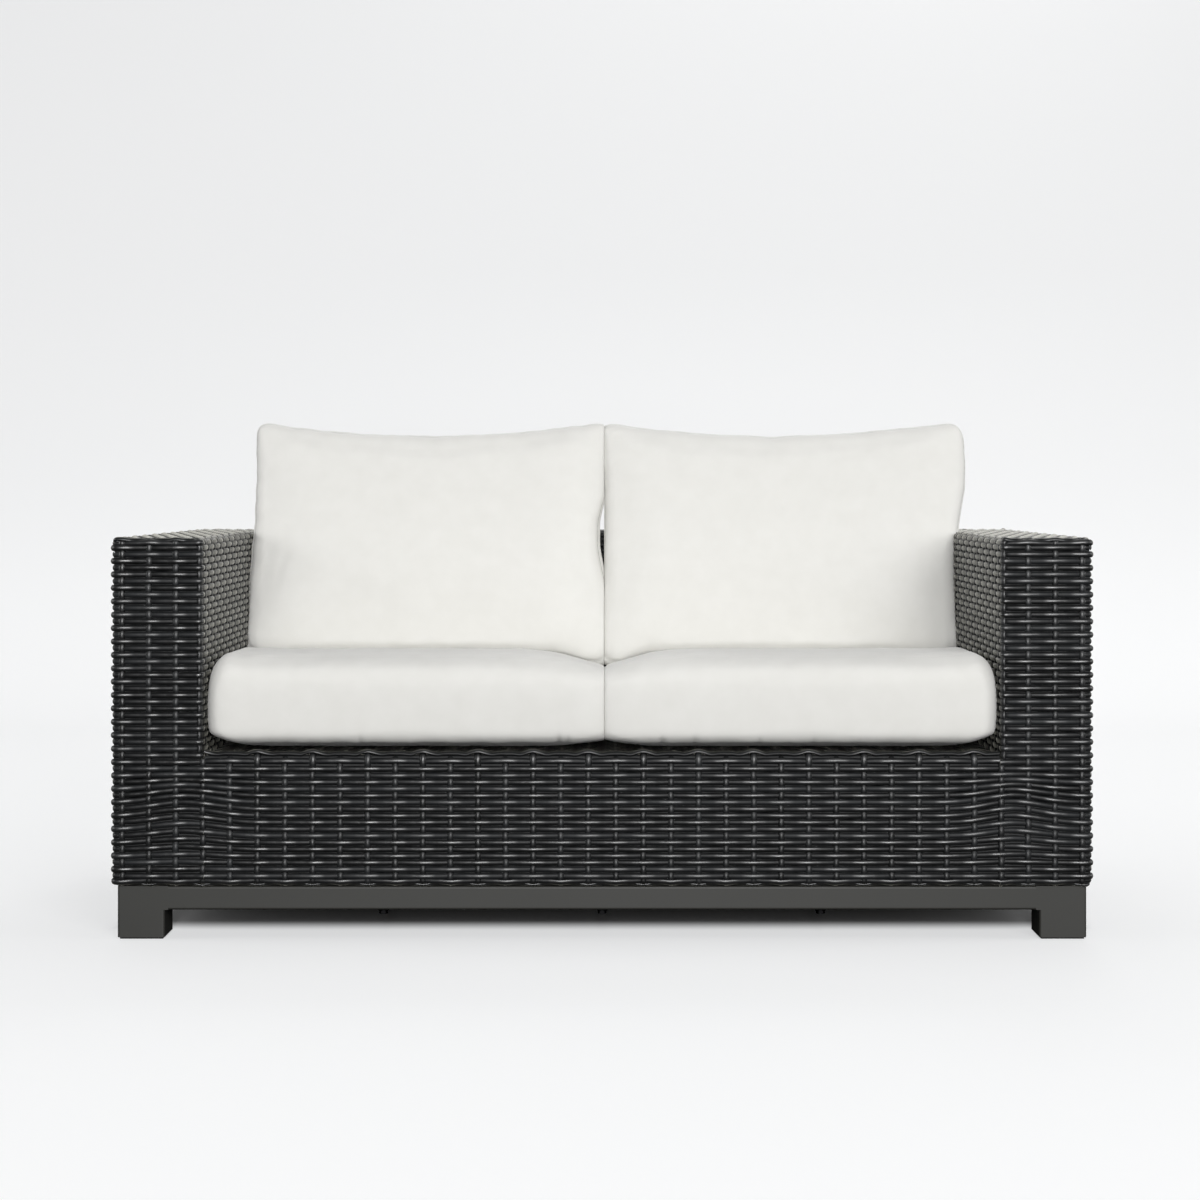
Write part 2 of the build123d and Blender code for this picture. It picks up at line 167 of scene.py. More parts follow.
def move_points(mesh: Mesh, points: np.ndarray) -> None:
    """Move all points of a mesh."""
    mesh.vertices.foreach_set("co", points.ravel())
    mesh.update()


def ripples(points: np.ndarray, seed: int) -> np.ndarray:
    """Smooth noise about -1 to 1 at each point, from another place of the noise for each seed."""
    shift = Vector((seed * 7.3, seed * 3.1, seed * 5.7))
    return np.array([noise.noise(Vector(p) + shift) for p in points]) * NOISE_GAIN


def bump_at(points: np.ndarray, centre: Sequence[float], reach: Sequence[float]) -> np.ndarray:
    """Soft weight about a centre, with its own reach along each axis."""
    return np.exp(-(((points - np.array(centre)) / np.array(reach)) ** 2).sum(1))


def eased(values: np.ndarray, low: float, high: float) -> np.ndarray:
    """Smooth step from 0 at low to 1 at high."""
    share = np.clip((values - low) / (high - low), 0.0, 1.0)
    return share * share * (3 - 2 * share)


@dataclass(frozen=True)
class Ramp:
    """An amount that eases in or out between two places."""

    amount: float
    start: float
    end: float

    def rising(self, values: np.ndarray) -> np.ndarray:
        """None up to the start and the whole amount from the end on."""
        return self.amount * eased(values, self.start, self.end)

    def falling(self, values: np.ndarray) -> np.ndarray:
        """The whole amount up to the start and none from the end on."""
        return self.amount * (1 - eased(values, self.start, self.end))


def mirrored(side: int, point: Sequence[float], out: Sequence[float]) -> tuple[tuple, tuple]:
    """Bring a point and its outward direction to the right (1) or the left (-1)."""
    return (point[0] * side, *point[1:]), (out[0] * side, *out[1:])


def steps_through(low: float, high: float, step: float, extra: Sequence[float] = ()) -> np.ndarray:
    """Evenly spaced places from low to high with some extra ones between.

    Args:
        low: First place.
        high: Last place.
        step: Longest step between even places.
        extra: More places, of which those outside are left out.

    Returns:
        All places in order.
    """
    count = max(int(math.ceil((high - low) / step)), 1)
    places = set(np.round(np.linspace(low, high, count + 1), 6))
    return np.array(sorted(places | {round(e, 6) for e in extra if low < e < high}))


class NodeWork:
    """A node tree under construction, with the steps that finishes, weave and studio share."""

    def __init__(self, tree: bpy.types.NodeTree) -> None:
        """Keep the tree."""
        self.tree = tree

    def out(self, kind: str, inputs: dict | None = None, output: int | str = 0, **settings: Any) -> Socket:
        """Add a node and return one of its outputs."""
        return add(self.tree, kind, inputs, **settings).outputs[output]

    def math(self, operation: str, *values: Any) -> Socket:
        """Add one sum and return its result."""
        return self.out("ShaderNodeMath", dict(enumerate(values)), operation=operation)

    def span(self, value: Socket, source: tuple[float, float], target: tuple[float, float],
             kind: str = "LINEAR") -> Socket:
        """Bring a value from one range to another.

        Args:
            value: What is brought over.
            source: Its range.
            target: The new range.
            kind: LINEAR or SMOOTHSTEP.

        Returns:
            The socket that holds the result.
        """
        return self.out("ShaderNodeMapRange", {
            "Value": value, "From Min": source[0], "From Max": source[1], "To Min": target[0],
            "To Max": target[1]}, "Result", interpolation_type=kind)

    def mix(self, factor: Socket, low: Any, high: Any) -> Socket:
        """Mix two colours.

        Args:
            factor: Share of the second.
            low: First colour, as hex or a socket.
            high: Second colour, as hex or a socket.

        Returns:
            The socket that holds the result.
        """
        node = add(self.tree, "ShaderNodeMix", {"Factor": factor}, data_type="RGBA")
        for socket, colour in ((node.inputs[6], low), (node.inputs[7], high)):
            if isinstance(colour, str):
                socket.default_value = linear(colour)
            else:
                self.tree.links.new(colour, socket)
        return node.outputs[2]


class Surface(NodeWork):
    """A Principled material under construction."""

    def __init__(self, name: str, constants: dict[str, Any]) -> None:
        """Start the material.

        Args:
            name: The material's name.
            constants: Plain values of the shader's sockets.
        """
        self.material = bpy.data.materials.new(name)
        self.material.use_nodes = True
        super().__init__(self.material.node_tree)
        self.shader = self.tree.nodes["Principled BSDF"]
        for socket, value in constants.items():
            self.shader.inputs[socket].default_value = value
        self.place = self.out("ShaderNodeTexCoord", output="Object")

    def attribute(self, name: str) -> Socket:
        """A value that the mesh carries."""
        return self.out("ShaderNodeAttribute", output="Fac", attribute_name=name)

    def cloud(self, scale: float, detail: float) -> Socket:
        """Soft noise over the surface."""
        return self.out("ShaderNodeTexNoise", {"Vector": self.place, "Scale": scale, "Detail": detail}, "Fac")

    def feed(self, socket: str, source: Socket) -> None:
        """Lead a value into the shader."""
        self.tree.links.new(source, self.shader.inputs[socket])

    def bump(self, height: Socket, strength: float, distance: float) -> None:
        """Lead a height into the shader's normal."""
        self.feed("Normal", self.out("ShaderNodeBump", {"Height": height, "Strength": strength,
                                                        "Distance": distance}, "Normal"))


@dataclass(frozen=True)
class WovenResin:
    """Extruded half-round resin cane, moulded in charcoal, hand woven.

    The eye sees a satin skin with faint drawn lines along each cane and a little change of tone from
    cane to cane. Crests are rubbed smooth and carry a thin film of dust, and crossings are dull. The dust
    is drawn as a sheen on the middle of each cane, which is also painted sheen: it lightens canes seen
    edge-on, as on the arms' inner faces.
    """

    name: str = "woven_resin_cane"
    shadow: str = "#08090a"
    body: str = "#101113"
    worn: str = "#1b1d1f"
    dust: float = 0.15
    dusty_shine: float = 0.4
    dust_and_painted_sheen: float = 0.8
    dust_and_sheen_tint: str = "#dbd9cb"
    tone_stops: tuple = (0.25, 0.5, 0.8)
    tone_span: tuple = (0.15, 0.85)
    crest_span: tuple = (0.0, 0.9)
    film_span: tuple = (2.2 * MM, 4.6 * MM)
    smooth_to_rough: tuple = (0.30, 0.44)
    draw_line: float = 1.1 * MM
    mottle: float = 60 * MM

    def make(self) -> Material:
        """Build the material.

        Returns:
            The material.
        """
        skin = Surface(self.name, {"IOR": 1.5, "Sheen Roughness": 0.35,
                                   "Sheen Tint": linear(self.dust_and_sheen_tint)})
        tone = skin.attribute("tone")
        mixed = skin.math("MULTIPLY", skin.math("ADD", tone, skin.cloud(1 / self.mottle, 3.0)), 0.5)
        ramp = add(skin.tree, "ShaderNodeValToRGB", {"Fac": mixed})
        stops = ramp.color_ramp.elements
        stops.new(0.5)
        for stop, position, colour in zip(stops, self.tone_stops, (self.shadow, self.body, self.worn)):
            stop.position, stop.color = position, linear(colour)
        skin.feed("Base Color", ramp.outputs["Color"])
        across, crest = skin.attribute("across"), skin.attribute("crest")
        rough = skin.span(mixed, self.tone_span, self.smooth_to_rough)
        dust = skin.span(crest, self.crest_span, (self.dust, 0.0), "SMOOTHSTEP")
        skin.feed("Roughness", skin.math("ADD", rough, dust))
        polish = skin.span(crest, self.crest_span, (self.dusty_shine, 1.0), "SMOOTHSTEP")
        skin.feed("Specular IOR Level", polish)
        # Sheen on each cane's middle band, none on its sides: dust, and also painted sheen that lightens
        # canes seen edge-on.
        film = skin.span(skin.math("ABSOLUTE", across), self.film_span, (self.dust_and_painted_sheen, 0.0), "SMOOTHSTEP")
        skin.feed("Sheen Weight", skin.math("MULTIPLY", film, polish))
        lines = skin.out("ShaderNodeTexNoise", {"W": skin.math("MULTIPLY_ADD", tone, 3.0, across),
                                                "Scale": 1 / self.draw_line, "Detail": 2.0},
                         "Fac", noise_dimensions="1D")
        skin.bump(lines, 0.3, 0.2 * MM)
        return skin.material


@dataclass(frozen=True)
class PlinthPowderCoat:
    """Powder coat baked on steel tube: a warm dark grey with a fine orange-peel bump."""

    name: str = "powder_coated_steel"
    colour: str = "#353532"
    shade: str = "#30302d"
    clouds_per_metre: float = 6.0
    peel: float = 0.9 * MM
    smooth_to_rough: tuple = (0.42, 0.58)

    def make(self) -> Material:
        """Build the material.

        Returns:
            The material.
        """
        coat = Surface(self.name, {"IOR": 1.5})
        cloud = coat.cloud(self.clouds_per_metre, 4.0)
        coat.feed("Base Color", coat.mix(cloud, self.shade, self.colour))
        peel = coat.cloud(1 / self.peel, 1.0)
        coat.feed("Roughness", coat.span(peel, (0.0, 1.0), self.smooth_to_rough))
        coat.bump(peel, 0.25, 0.1 * MM)
        return coat.material


@dataclass(frozen=True)
class CushionCanvas:
    """Spun polyester canvas, piece dyed in warm white: a close plain weave, matte with a soft sheen."""

    name: str = "spun_polyester_canvas"
    colour: str = "#ebeae6"
    slub: str = "#e3e2dd"
    # Grey painted along open seams as shade in their creases, at up to seam_shade strength.
    painted_seam_shade: str = "#8e8c86"
    seam_shade: float = 0.55
    seam_span: tuple = (0.4 * MM, 1.6 * MM)
    slubs_per_metre: float = 30.0
    thread: float = 1.6 * MM

    def make(self) -> Material:
        """Build the material. Threads are about 0.5 mm in truth, and drawn coarser so that they show.

        Returns:
            The material.
        """
        cloth = Surface(self.name, {"Roughness": 0.92, "IOR": 1.45, "Sheen Weight": 0.25,
                                    "Sheen Roughness": 0.5})
        # Darker grey along open seams: painted shade in the seams' creases.
        away = cloth.math("ABSOLUTE", cloth.attribute("seam"))
        painted_seam_shade = cloth.span(away, self.seam_span, (self.seam_shade, 0.0), "SMOOTHSTEP")
        tint = cloth.mix(cloth.cloud(self.slubs_per_metre, 6.0), self.slub, self.colour)
        cloth.feed("Base Color", cloth.mix(painted_seam_shade, tint, self.painted_seam_shade))
        weft, warp, deep = (
            cloth.out("ShaderNodeTexWave", {"Vector": cloth.place, "Scale": 0.5 / self.thread,
                                            "Distortion": 0.6, "Detail": 1.0, "Detail Scale": 2.0},
                      "Fac", bands_direction=axis)
            for axis in ("X", "Z", "Y"))
        cloth.bump(cloth.math("ADD", cloth.math("ADD", weft, warp), deep), 0.12, 0.15 * MM)
        return cloth.material


@dataclass(frozen=True)
class PlainFinish:
    """A finish for what lies hidden: one tone with a slight cloud and its own roughness."""

    name: str
    colour: str
    cloud_colour: str
    roughness: float
    metallic: float = 0.0
    cloud: float = 25 * MM
    roughness_change: float = 0.06

    def make(self) -> Material:
        """Build the material.

        Returns:
            The material.
        """
        plain = Surface(self.name, {"Metallic": self.metallic})
        cloud = plain.cloud(1 / self.cloud, 4.0)
        plain.feed("Base Color", plain.mix(cloud, self.cloud_colour, self.colour))
        smooth, rough = self.roughness - self.roughness_change, self.roughness + self.roughness_change
        plain.feed("Roughness", plain.span(cloud, (0.0, 1.0), (smooth, rough)))
        return plain.material


class HiddenFinish(Enum):
    """Finishes of the pieces that the cushions and the weave hide."""

    # The liner is a near-black sheet under the canes: painted shade for the shaded inside of the woven body,
    # seen in the gaps between canes.
    LINER = PlainFinish("painted_shade_liner", "#141516", "#0e0f10", 0.6)
    TUBE = PlainFinish("mill_aluminium_tube", "#b4b6b8", "#a2a4a7", 0.42, metallic=1.0)
    NYLON = PlainFinish("moulded_black_nylon", "#1b1b1b", "#131313", 0.5)
    ZINC = PlainFinish("black_zinc_plated_steel", "#1e1e1f", "#151516", 0.4, metallic=1.0)

    def make(self) -> Material:
        """Build the material."""
        return self.value.make()


class WovenCaneTree(NodeWork):
    """Geometry Nodes tree that lays half-round canes over a patch, over and under one another.

    A patch has its stakes at every whole number and a half along U and its rows at every whole number
    and a half along V. Canes run along the rows, as wefts, or across them, as stakes.
    """

    NAME = "woven_cane"
    LANE_STEP = 3.7
    SEED_STEP = 17.31
    DRIFT_PACE = 0.45
    LOOSENESS = 0.8 * MM
    ARC_POINTS = 6
    WALL_CORNERS = 4
    INPUTS = {
        "Geometry": ("Patch",), "Material": ("Material",), "Vector": ("Low", "High"),
        "Bool": ("Across Rows",), "Int": ("Canes", "Steps", "Seed"),
        "Float": ("From", "To", "First", "Width", "Height", "Wave", "Depth", "Steepness", "Phase", "Wander"),
    }

    def __init__(self) -> None:
        """Build the tree once."""
        super().__init__(bpy.data.node_groups.new(self.NAME, "GeometryNodeTree"))
        new_socket = self.tree.interface.new_socket
        self.sockets = {name: new_socket(name, in_out="INPUT", socket_type="NodeSocket" + kind).identifier
                        for kind, names in self.INPUTS.items() for name in names}
        new_socket("Geometry", in_out="OUTPUT", socket_type="NodeSocketGeometry")
        self.given = self.tree.nodes.new("NodeGroupInput").outputs
        swept = self._sweep(self._lay(self._strands()))
        whole = self.out("GeometryNodeRealizeInstances", {"Geometry": swept})
        painted = self.out("GeometryNodeSetMaterial", {"Geometry": whole, "Material": self.given["Material"]})
        add(self.tree, "NodeGroupOutput", {"Geometry": painted})

    def _point(self, **parts: Any) -> Socket:
        """Put a point together from X, Y and Z."""
        return self.out("ShaderNodeCombineXYZ", parts)

    def _vector(self, operation: str, *values: Any, **more: Any) -> Socket:
        """Add one sum of vectors and return its result."""
        return self.out("ShaderNodeVectorMath", {**dict(enumerate(values)), **more}, operation=operation)

    def _read(self, name: str, kind: str = "FLOAT") -> Socket:
        """A value that the geometry carries."""
        return self.out("GeometryNodeInputNamedAttribute", {"Name": name}, data_type=kind)

    def _store(self, geometry: Socket, name: str, value: Socket, kind: str = "FLOAT") -> Socket:
        """Have the geometry carry a value at its points."""
        return self.out("GeometryNodeStoreNamedAttribute", {
            "Geometry": geometry, "Name": name, "Value": value}, data_type=kind, domain="POINT")

    def _here(self) -> Socket:
        """The position of each point."""
        return self.out("GeometryNodeInputPosition")

    def _strands(self) -> Socket:
        """Lay straight lines in the patch's own plane, one for each cane.

        Returns:
            The lines.
        """
        line = self.out("GeometryNodeCurvePrimitiveLine", {"Start": self._point(X=self.given["From"]),
                                                           "End": self._point(X=self.given["To"])})
        even = self.out("GeometryNodeResampleCurve", {"Curve": line, "Count": self.given["Steps"]},
                        mode="COUNT")
        place = self._point(Y=self.math("ADD", self.given["First"], 0.5))
        places = self.out("GeometryNodeMeshLine", {"Count": self.given["Canes"], "Start Location": place,
                                                   "Offset": (0.0, 1.0, 0.0)})
        spread = self.out("GeometryNodeInstanceOnPoints", {"Points": places, "Instance": even})
        return self.out("GeometryNodeRealizeInstances", {"Geometry": spread})

    def _on_patch(self, along: Socket, moved: Socket) -> list[bpy.types.Node]:
        """Find the skin's point, direction and swell at each place along a cane.

        Args:
            along: Place along the cane.
            moved: Place across the canes, with its drift.

        Returns:
            The nodes that give point, direction and swell.
        """
        chosen = add(self.tree, "GeometryNodeSwitch", {
            "Switch": self.given["Across Rows"], "False": self._point(X=along, Y=moved),
            "True": self._point(X=moved, Y=along)}, input_type="VECTOR").outputs[0]
        raised = self._vector("SUBTRACT", chosen, self.given["Low"])
        span = self._vector("SUBTRACT", self.given["High"], self.given["Low"])
        place = self._vector("DIVIDE", raised, span)
        chart = self._read("chart", "FLOAT_VECTOR")
        outward = self._read("out", "FLOAT_VECTOR")
        found = []
        for value, kind in ((self._here(), "FLOAT_VECTOR"), (outward, "FLOAT_VECTOR"),
                            (self._read("swell"), "FLOAT")):
            node = add(self.tree, "GeometryNodeSampleUVSurface", data_type=kind)
            for socket, source in zip(node.inputs, (self.given["Patch"], value, chart, place)):
                self.tree.links.new(source, socket)
            found.append(node)
        return found

    def _own_random(self, number: Socket) -> Socket:
        """One random value for each cane.

        Args:
            number: The cane's number.

        Returns:
            The socket that holds the result.
        """
        node = add(self.tree, "FunctionNodeRandomValue", data_type="FLOAT")
        for name, source in (("ID", number), ("Seed", self.given["Seed"])):
            self.tree.links.new(source, next(i for i in node.inputs if i.name == name and i.enabled))
        return next(o for o in node.outputs if o.enabled)

    def _lay(self, strands: Socket) -> Socket:
        """Bring the lines onto the patch, each waving over and under the canes that cross it.

        Args:
            strands: Straight lines in the patch's plane.

        Returns:
            The lines as they lie, with the values that the finish reads.
        """
        spot = add(self.tree, "ShaderNodeSeparateXYZ", {0: self._here()}).outputs
        along, across = spot["X"], spot["Y"]
        number = self.math("FLOOR", across)
        seed = self.math("MULTIPLY", self.given["Seed"], self.SEED_STEP)
        lane = self.math("MULTIPLY_ADD", across, self.LANE_STEP, seed)
        drift = self.out("ShaderNodeTexNoise", {
            "Vector": self._point(X=self.math("MULTIPLY", along, self.DRIFT_PACE), Y=lane), "Scale": 1.0,
            "Detail": 1.0}, "Fac")
        off_centre = self.math("SUBTRACT", drift, 0.5)
        skin, outward, swell = self._on_patch(
            along, self.math("MULTIPLY_ADD", off_centre, self.given["Wander"], across))
        crossing = self.math("ADD", self.math("SUBTRACT", along, 0.5), number)
        turn = self.math("ADD", crossing, self.given["Phase"])
        cosine = self.math("COSINE", self.math("MULTIPLY", turn, math.pi))
        steep = self.math("POWER", self.math("ABSOLUTE", cosine), self.given["Steepness"])
        signed = self.math("MULTIPLY", self.math("SIGN", cosine), steep)
        swing = self.math("MULTIPLY", signed, self.given["Wave"])
        half_turn = self.math("MULTIPLY", self.math("ADD", number, self.given["Phase"]), math.pi)
        parity = self.math("COSINE", half_turn)
        swung = self.math("MULTIPLY_ADD", parity, swell.outputs[0], swing)
        loose = self.math("MULTIPLY_ADD", off_centre, self.LOOSENESS, swung)
        facing = self._vector("NORMALIZE", outward.outputs[0])
        lift = self._vector("SCALE", facing, Scale=self.math("SUBTRACT", loose, self.given["Depth"]))
        tone = self.math("MULTIPLY_ADD", off_centre, 0.5, self._own_random(number))
        crest = self.math("MULTIPLY", cosine, self.math("SIGN", self.given["Wave"]))
        shelf = strands
        for name, value, kind in (("tone", tone, "FLOAT"), ("crest", crest, "FLOAT"),
                                  ("facing", facing, "FLOAT_VECTOR"),
                                  ("landed", self._vector("ADD", skin.outputs[0], lift), "FLOAT_VECTOR"),
                                  ("valid", skin.outputs["Is Valid"], "FLOAT")):
            shelf = self._store(shelf, name, value, kind)
        stray = self.out("FunctionNodeCompare", {0: self._read("valid"), 1: 0.5}, data_type="FLOAT",
                         operation="LESS_THAN")
        kept = self.out("GeometryNodeDeleteGeometry", {"Geometry": shelf, "Selection": stray}, domain="POINT")
        laid = self.out("GeometryNodeSetPosition", {"Geometry": kept,
                                                    "Position": self._read("landed", "FLOAT_VECTOR")})
        return self.out("GeometryNodeSetCurveNormal", {
            "Curve": laid, "Normal": self._read("facing", "FLOAT_VECTOR")}, mode="FREE")

    def _sweep(self, canes: Socket) -> Socket:
        """Sweep a closed half-round along each line, capped at both ends.

        Args:
            canes: Lines as they lie.

        Returns:
            The canes' mesh.
        """
        arc = self.out("GeometryNodeCurveArc", {"Resolution": self.ARC_POINTS, "Radius": 1.0,
                                                "Start Angle": -math.pi / 2, "Sweep Angle": math.pi})
        ring = self.out("GeometryNodeSetSplineCyclic", {0: arc, "Cyclic": True})
        size = self._point(X=self.given["Height"], Y=self.math("MULTIPLY", self.given["Width"], 0.5), Z=1.0)
        shift = self._point(X=self.math("MULTIPLY", self.given["Height"], -0.5))
        profile = self.out("GeometryNodeTransform", {"Geometry": ring, "Translation": shift, "Scale": size})
        side = self.out("ShaderNodeSeparateXYZ", {0: self._here()}, "Y")
        swept = self.out("GeometryNodeCurveToMesh", {
            "Curve": canes, "Profile Curve": self._store(profile, "across", side), "Fill Caps": True})
        wall = add(self.tree, "FunctionNodeCompare", data_type="INT", operation="EQUAL")
        counted, wanted = [i for i in wall.inputs if i.enabled]
        self.tree.links.new(self.out("GeometryNodeInputMeshFaceNeighbors", output="Vertex Count"), counted)
        wanted.default_value = self.WALL_CORNERS
        shaded = self.out("GeometryNodeSetShadeSmooth", {0: swept, "Selection": True,
                                                         "Shade Smooth": wall.outputs[0]}, domain="FACE")
        for name in ("facing", "landed", "valid"):
            shaded = self.out("GeometryNodeRemoveAttribute", {0: shaded, "Name": name})
        return shaded


@dataclass(frozen=True)
class Cane:
    """Section of a cane and how far it waves, in millimetres."""

    width: float
    height: float
    wave: float
    depth: float
    steps: int
    wander: float
    steepness: float


WEFT = Cane(width=10.9, height=4.6, wave=2.05, depth=3.5, steps=8, wander=0.13, steepness=3.0)
STAKE = Cane(width=11.0, height=3.8, wave=-1.2, depth=3.3, steps=2, wander=0.06, steepness=1.0)


class Patch:
    """A stretch of skin with its chart in stakes and rows, as a grid of points that face outward."""

    def __init__(self, name: str, stakes: np.ndarray, rows: np.ndarray,
                 place: Callable[[float, float], tuple[Sequence[float], Sequence[float]]],
                 swell: Callable[[float, float], float] = lambda stake, row: 0.0) -> None:
        """Sample the skin.

        Args:
            name: The patch's name.
            stakes: Chart places along U, in stakes.
            rows: Chart places along V, in rows.
            place: Gives the point in millimetres and the outward direction at a chart place.
            swell: How much wider than elsewhere canes swing at a chart place, in millimetres.
        """
        self.name, self.stakes, self.rows = name, stakes, rows
        self.swell = np.array([swell(s, t) for s in stakes for t in rows]) * MM
        pairs = [place(s, t) for s in stakes for t in rows]
        self.points = np.array([p for p, _ in pairs], float) * MM
        self.outs = np.array([o for _, o in pairs], float)
        self.outs /= np.linalg.norm(self.outs, axis=1)[:, None]

    def _faces(self) -> list[tuple[int, int, int, int]]:
        """Quads of the grid.

        Returns:
            Four point numbers for each quad.
        """
        wide, high = len(self.stakes), len(self.rows)
        return [(i * high + j, (i + 1) * high + j, (i + 1) * high + j + 1, i * high + j + 1)
                for i in range(wide - 1) for j in range(high - 1)]

    def chart_mesh(self) -> Mesh:
        """Mesh with the chart in 0 to 1 and the outward direction as attributes.

        Returns:
            The mesh that the weave's tree reads.
        """
        mesh = bpy.data.meshes.new(self.name)
        mesh.from_pydata(self.points.tolist(), [], self._faces())
        u = (self.stakes - self.stakes[0]) / (self.stakes[-1] - self.stakes[0])
        v = (self.rows - self.rows[0]) / (self.rows[-1] - self.rows[0])
        chart = np.array([(a, b, 0.0) for a in u for b in v])
        corners = np.array([loop.vertex_index for loop in mesh.loops])
        layer = mesh.attributes.new("chart", "FLOAT_VECTOR", "CORNER")
        layer.data.foreach_set("vector", chart[corners].ravel())
        facing = mesh.attributes.new("out", "FLOAT_VECTOR", "POINT")
        facing.data.foreach_set("vector", self.outs.ravel())
        mesh.attributes.new("swell", "FLOAT", "POINT").data.foreach_set("value", self.swell)
        return mesh

    def liner(self, depth: float, thickness: float, material: Material) -> Piece:
        """Thin closed sheet under the canes, whose dark finish is painted shade in the gaps between them.

        Args:
            depth: How far it lies under the skin's face, in millimetres.
            thickness: Its thickness, in millimetres.
            material: Its finish.

        Returns:
            The liner's object.
        """
        layers = [self.points - self.outs * d * MM for d in (depth, depth + thickness)]
        count = len(self.points)
        faces = self._faces()
        wide, high = len(self.stakes), len(self.rows)
        rim = [i * high for i in range(wide)] + [(wide - 1) * high + j for j in range(1, high)]
        rim += [i * high + high - 1 for i in range(wide - 2, -1, -1)] + [j for j in range(high - 2, 0, -1)]
        sides = [(a, b, b + count, a + count) for a, b in zip(rim, rim[1:] + rim[:1])]
        inner = [tuple(v + count for v in reversed(f)) for f in faces]
        mesh = bpy.data.meshes.new(self.name + "_liner")
        mesh.from_pydata(np.vstack(layers).tolist(), [], faces + inner + [tuple(reversed(q)) for q in sides])
        recalculate(mesh)
        mesh.materials.append(material)
        return piece_of(self.name + "_liner", mesh)


class Weaver:
    """Lays canes over patches and makes plain pieces of them."""

    def __init__(self, material: Material) -> None:
        """Keep the tree and the finish.

        Args:
            material: The canes' finish.
        """
        self.canes = WovenCaneTree()
        self.material = material
        self.seed = 0

    def weave(self, patch: Patch, name: str, cane: Cane, run: tuple[float, float], first: int, count: int,
              phase: int, across: bool) -> Piece:
        """Weave one set of canes over a patch.

        Args:
            patch: Where they lie.
            name: Name of the new piece.
            cane: Their section and wave.
            run: Where they start and end along the patch.
            first: Number of the first cane.
            count: How many canes.
            phase: 0 or 1, whether the first crossing goes over or under.
            across: Whether they cross the rows, as stakes do.

        Returns:
            The canes' object.
        """
        self.seed += 1
        host = piece_of(name + "_host", patch.chart_mesh())
        modifier = host.modifiers.new("weave", "NODES")
        modifier.node_group = self.canes.tree
        steps = 1 + int(round((run[1] - run[0]) * cane.steps))
        values = {
            "Low": (patch.stakes[0], patch.rows[0], 0.0), "High": (patch.stakes[-1], patch.rows[-1], 1.0),
            "Across Rows": across, "From": float(run[0]), "To": float(run[1]), "First": float(first),
            "Canes": int(count), "Steps": steps, "Width": cane.width * MM, "Height": cane.height * MM,
            "Wave": cane.wave * MM, "Depth": cane.depth * MM, "Steepness": cane.steepness,
            "Phase": float(phase), "Wander": cane.wander, "Seed": self.seed, "Material": self.material,
        }
        for key, value in values.items():
            modifier[self.canes.sockets[key]] = value
        mesh = evaluated(host)
        mesh.name = name
        bpy.data.objects.remove(host)
        piece = piece_of(name, mesh)
        log.info("%s: %d canes, %d faces", name, count, len(mesh.polygons))
        return piece


@dataclass(frozen=True)
class BodySizes:
    """Sizes of the woven body in millimetres, in line with the CAD model, and its rows and stakes."""

    half_width: float = 825.0
    half_depth: float = 425.0
    top: float = 675.0
    foot: float = 89.0
    deck: float = 306.0
    arm_inner: float = 667.0
    back_front: float = 260.0
    edge: float = 12.0
    row: float = 11.24
    lip_rows: int = 3
    belt_row: int = 18
    top_row: int = 50
    edge_rows: int = 2
    corner_swell: float = 2.0
    corner_width: float = 0.28
    edge_swell: float = 5.0
    edge_swell_at: tuple = (1.7, 0.9)
    edge_ridge: float = 9.0
    edge_ridge_at: tuple = (1.6, 1.2)
    stake: float = 45.2
    corner_stake: float = 21.5
    arm_stakes: int = 47
    arm_top_stakes: int = 18
    arm_top_rows: int = 12

    @property
    def roll(self) -> float:
        """Length of a quarter turn over an edge."""
        return self.edge * math.pi / 2

    @property
    def low(self) -> float:
        """Height where the bottom edge starts to turn in."""
        return self.foot + self.edge

    def head_turn(self, core: Sequence[float], normal: Sequence[float], row: float) -> tuple[tuple, tuple]:
        """Point and direction on an upright wall that turns over its top edge, in two closer rows.

        Args:
            core: Centre of the wall's edge turn in plan.
            normal: Outward direction in plan.
            row: Row number, past the top row on the turn.

        Returns:
            The point in millimetres and its outward direction.
        """
        if row <= self.top_row:
            return self.foot_turn(core, normal, row)
        turn = math.pi / 2 * (row - self.top_row) / self.edge_rows
        reach = self.edge * math.cos(turn)
        return ((core[0] + normal[0] * reach, core[1] + normal[1] * reach,
                 self.top - self.edge + self.edge * math.sin(turn)),
                (normal[0] * math.cos(turn), normal[1] * math.cos(turn), math.sin(turn)))

    def over_turn(self, x: float, y: float, level: float, angle: float) -> tuple[tuple, tuple]:
        """Point and direction on a turn up and over an edge that runs from left to right.

        Args:
            x: Place along the edge.
            y: Centre of the turn.
            level: Height of the face that the turn leads to.
            angle: 0 where the turn faces the front, a quarter turn where it faces up.

        Returns:
            The point in millimetres and its outward direction.
        """
        out = (0.0, -math.cos(angle), math.sin(angle))
        return (x, y + out[1] * self.edge, level - self.edge + out[2] * self.edge), out

    def foot_turn(self, core: Sequence[float], normal: Sequence[float], row: float,
                  lift: float = 0.0) -> tuple[tuple, tuple]:
        """Point and direction on an upright wall that turns in under its foot.

        Args:
            core: Centre of the wall's edge turn in plan.
            normal: Outward direction in plan.
            row: Row number, negative under the foot.
            lift: How far the row strays upward, in millimetres.

        Returns:
            The point in millimetres and its outward direction.
        """
        height = row * self.row + lift
        if height >= 0:
            return ((core[0] + normal[0] * self.edge, core[1] + normal[1] * self.edge, self.low + height),
                    (normal[0], normal[1], 0.0))
        turn = min(-height / self.edge, math.pi / 2)
        past = max(-height - self.roll, 0.0)
        reach = self.edge * math.cos(turn) - past
        return ((core[0] + normal[0] * reach, core[1] + normal[1] * reach,
                 self.low - self.edge * math.sin(turn)),
                (normal[0] * math.cos(turn), normal[1] * math.cos(turn), -math.sin(turn)))


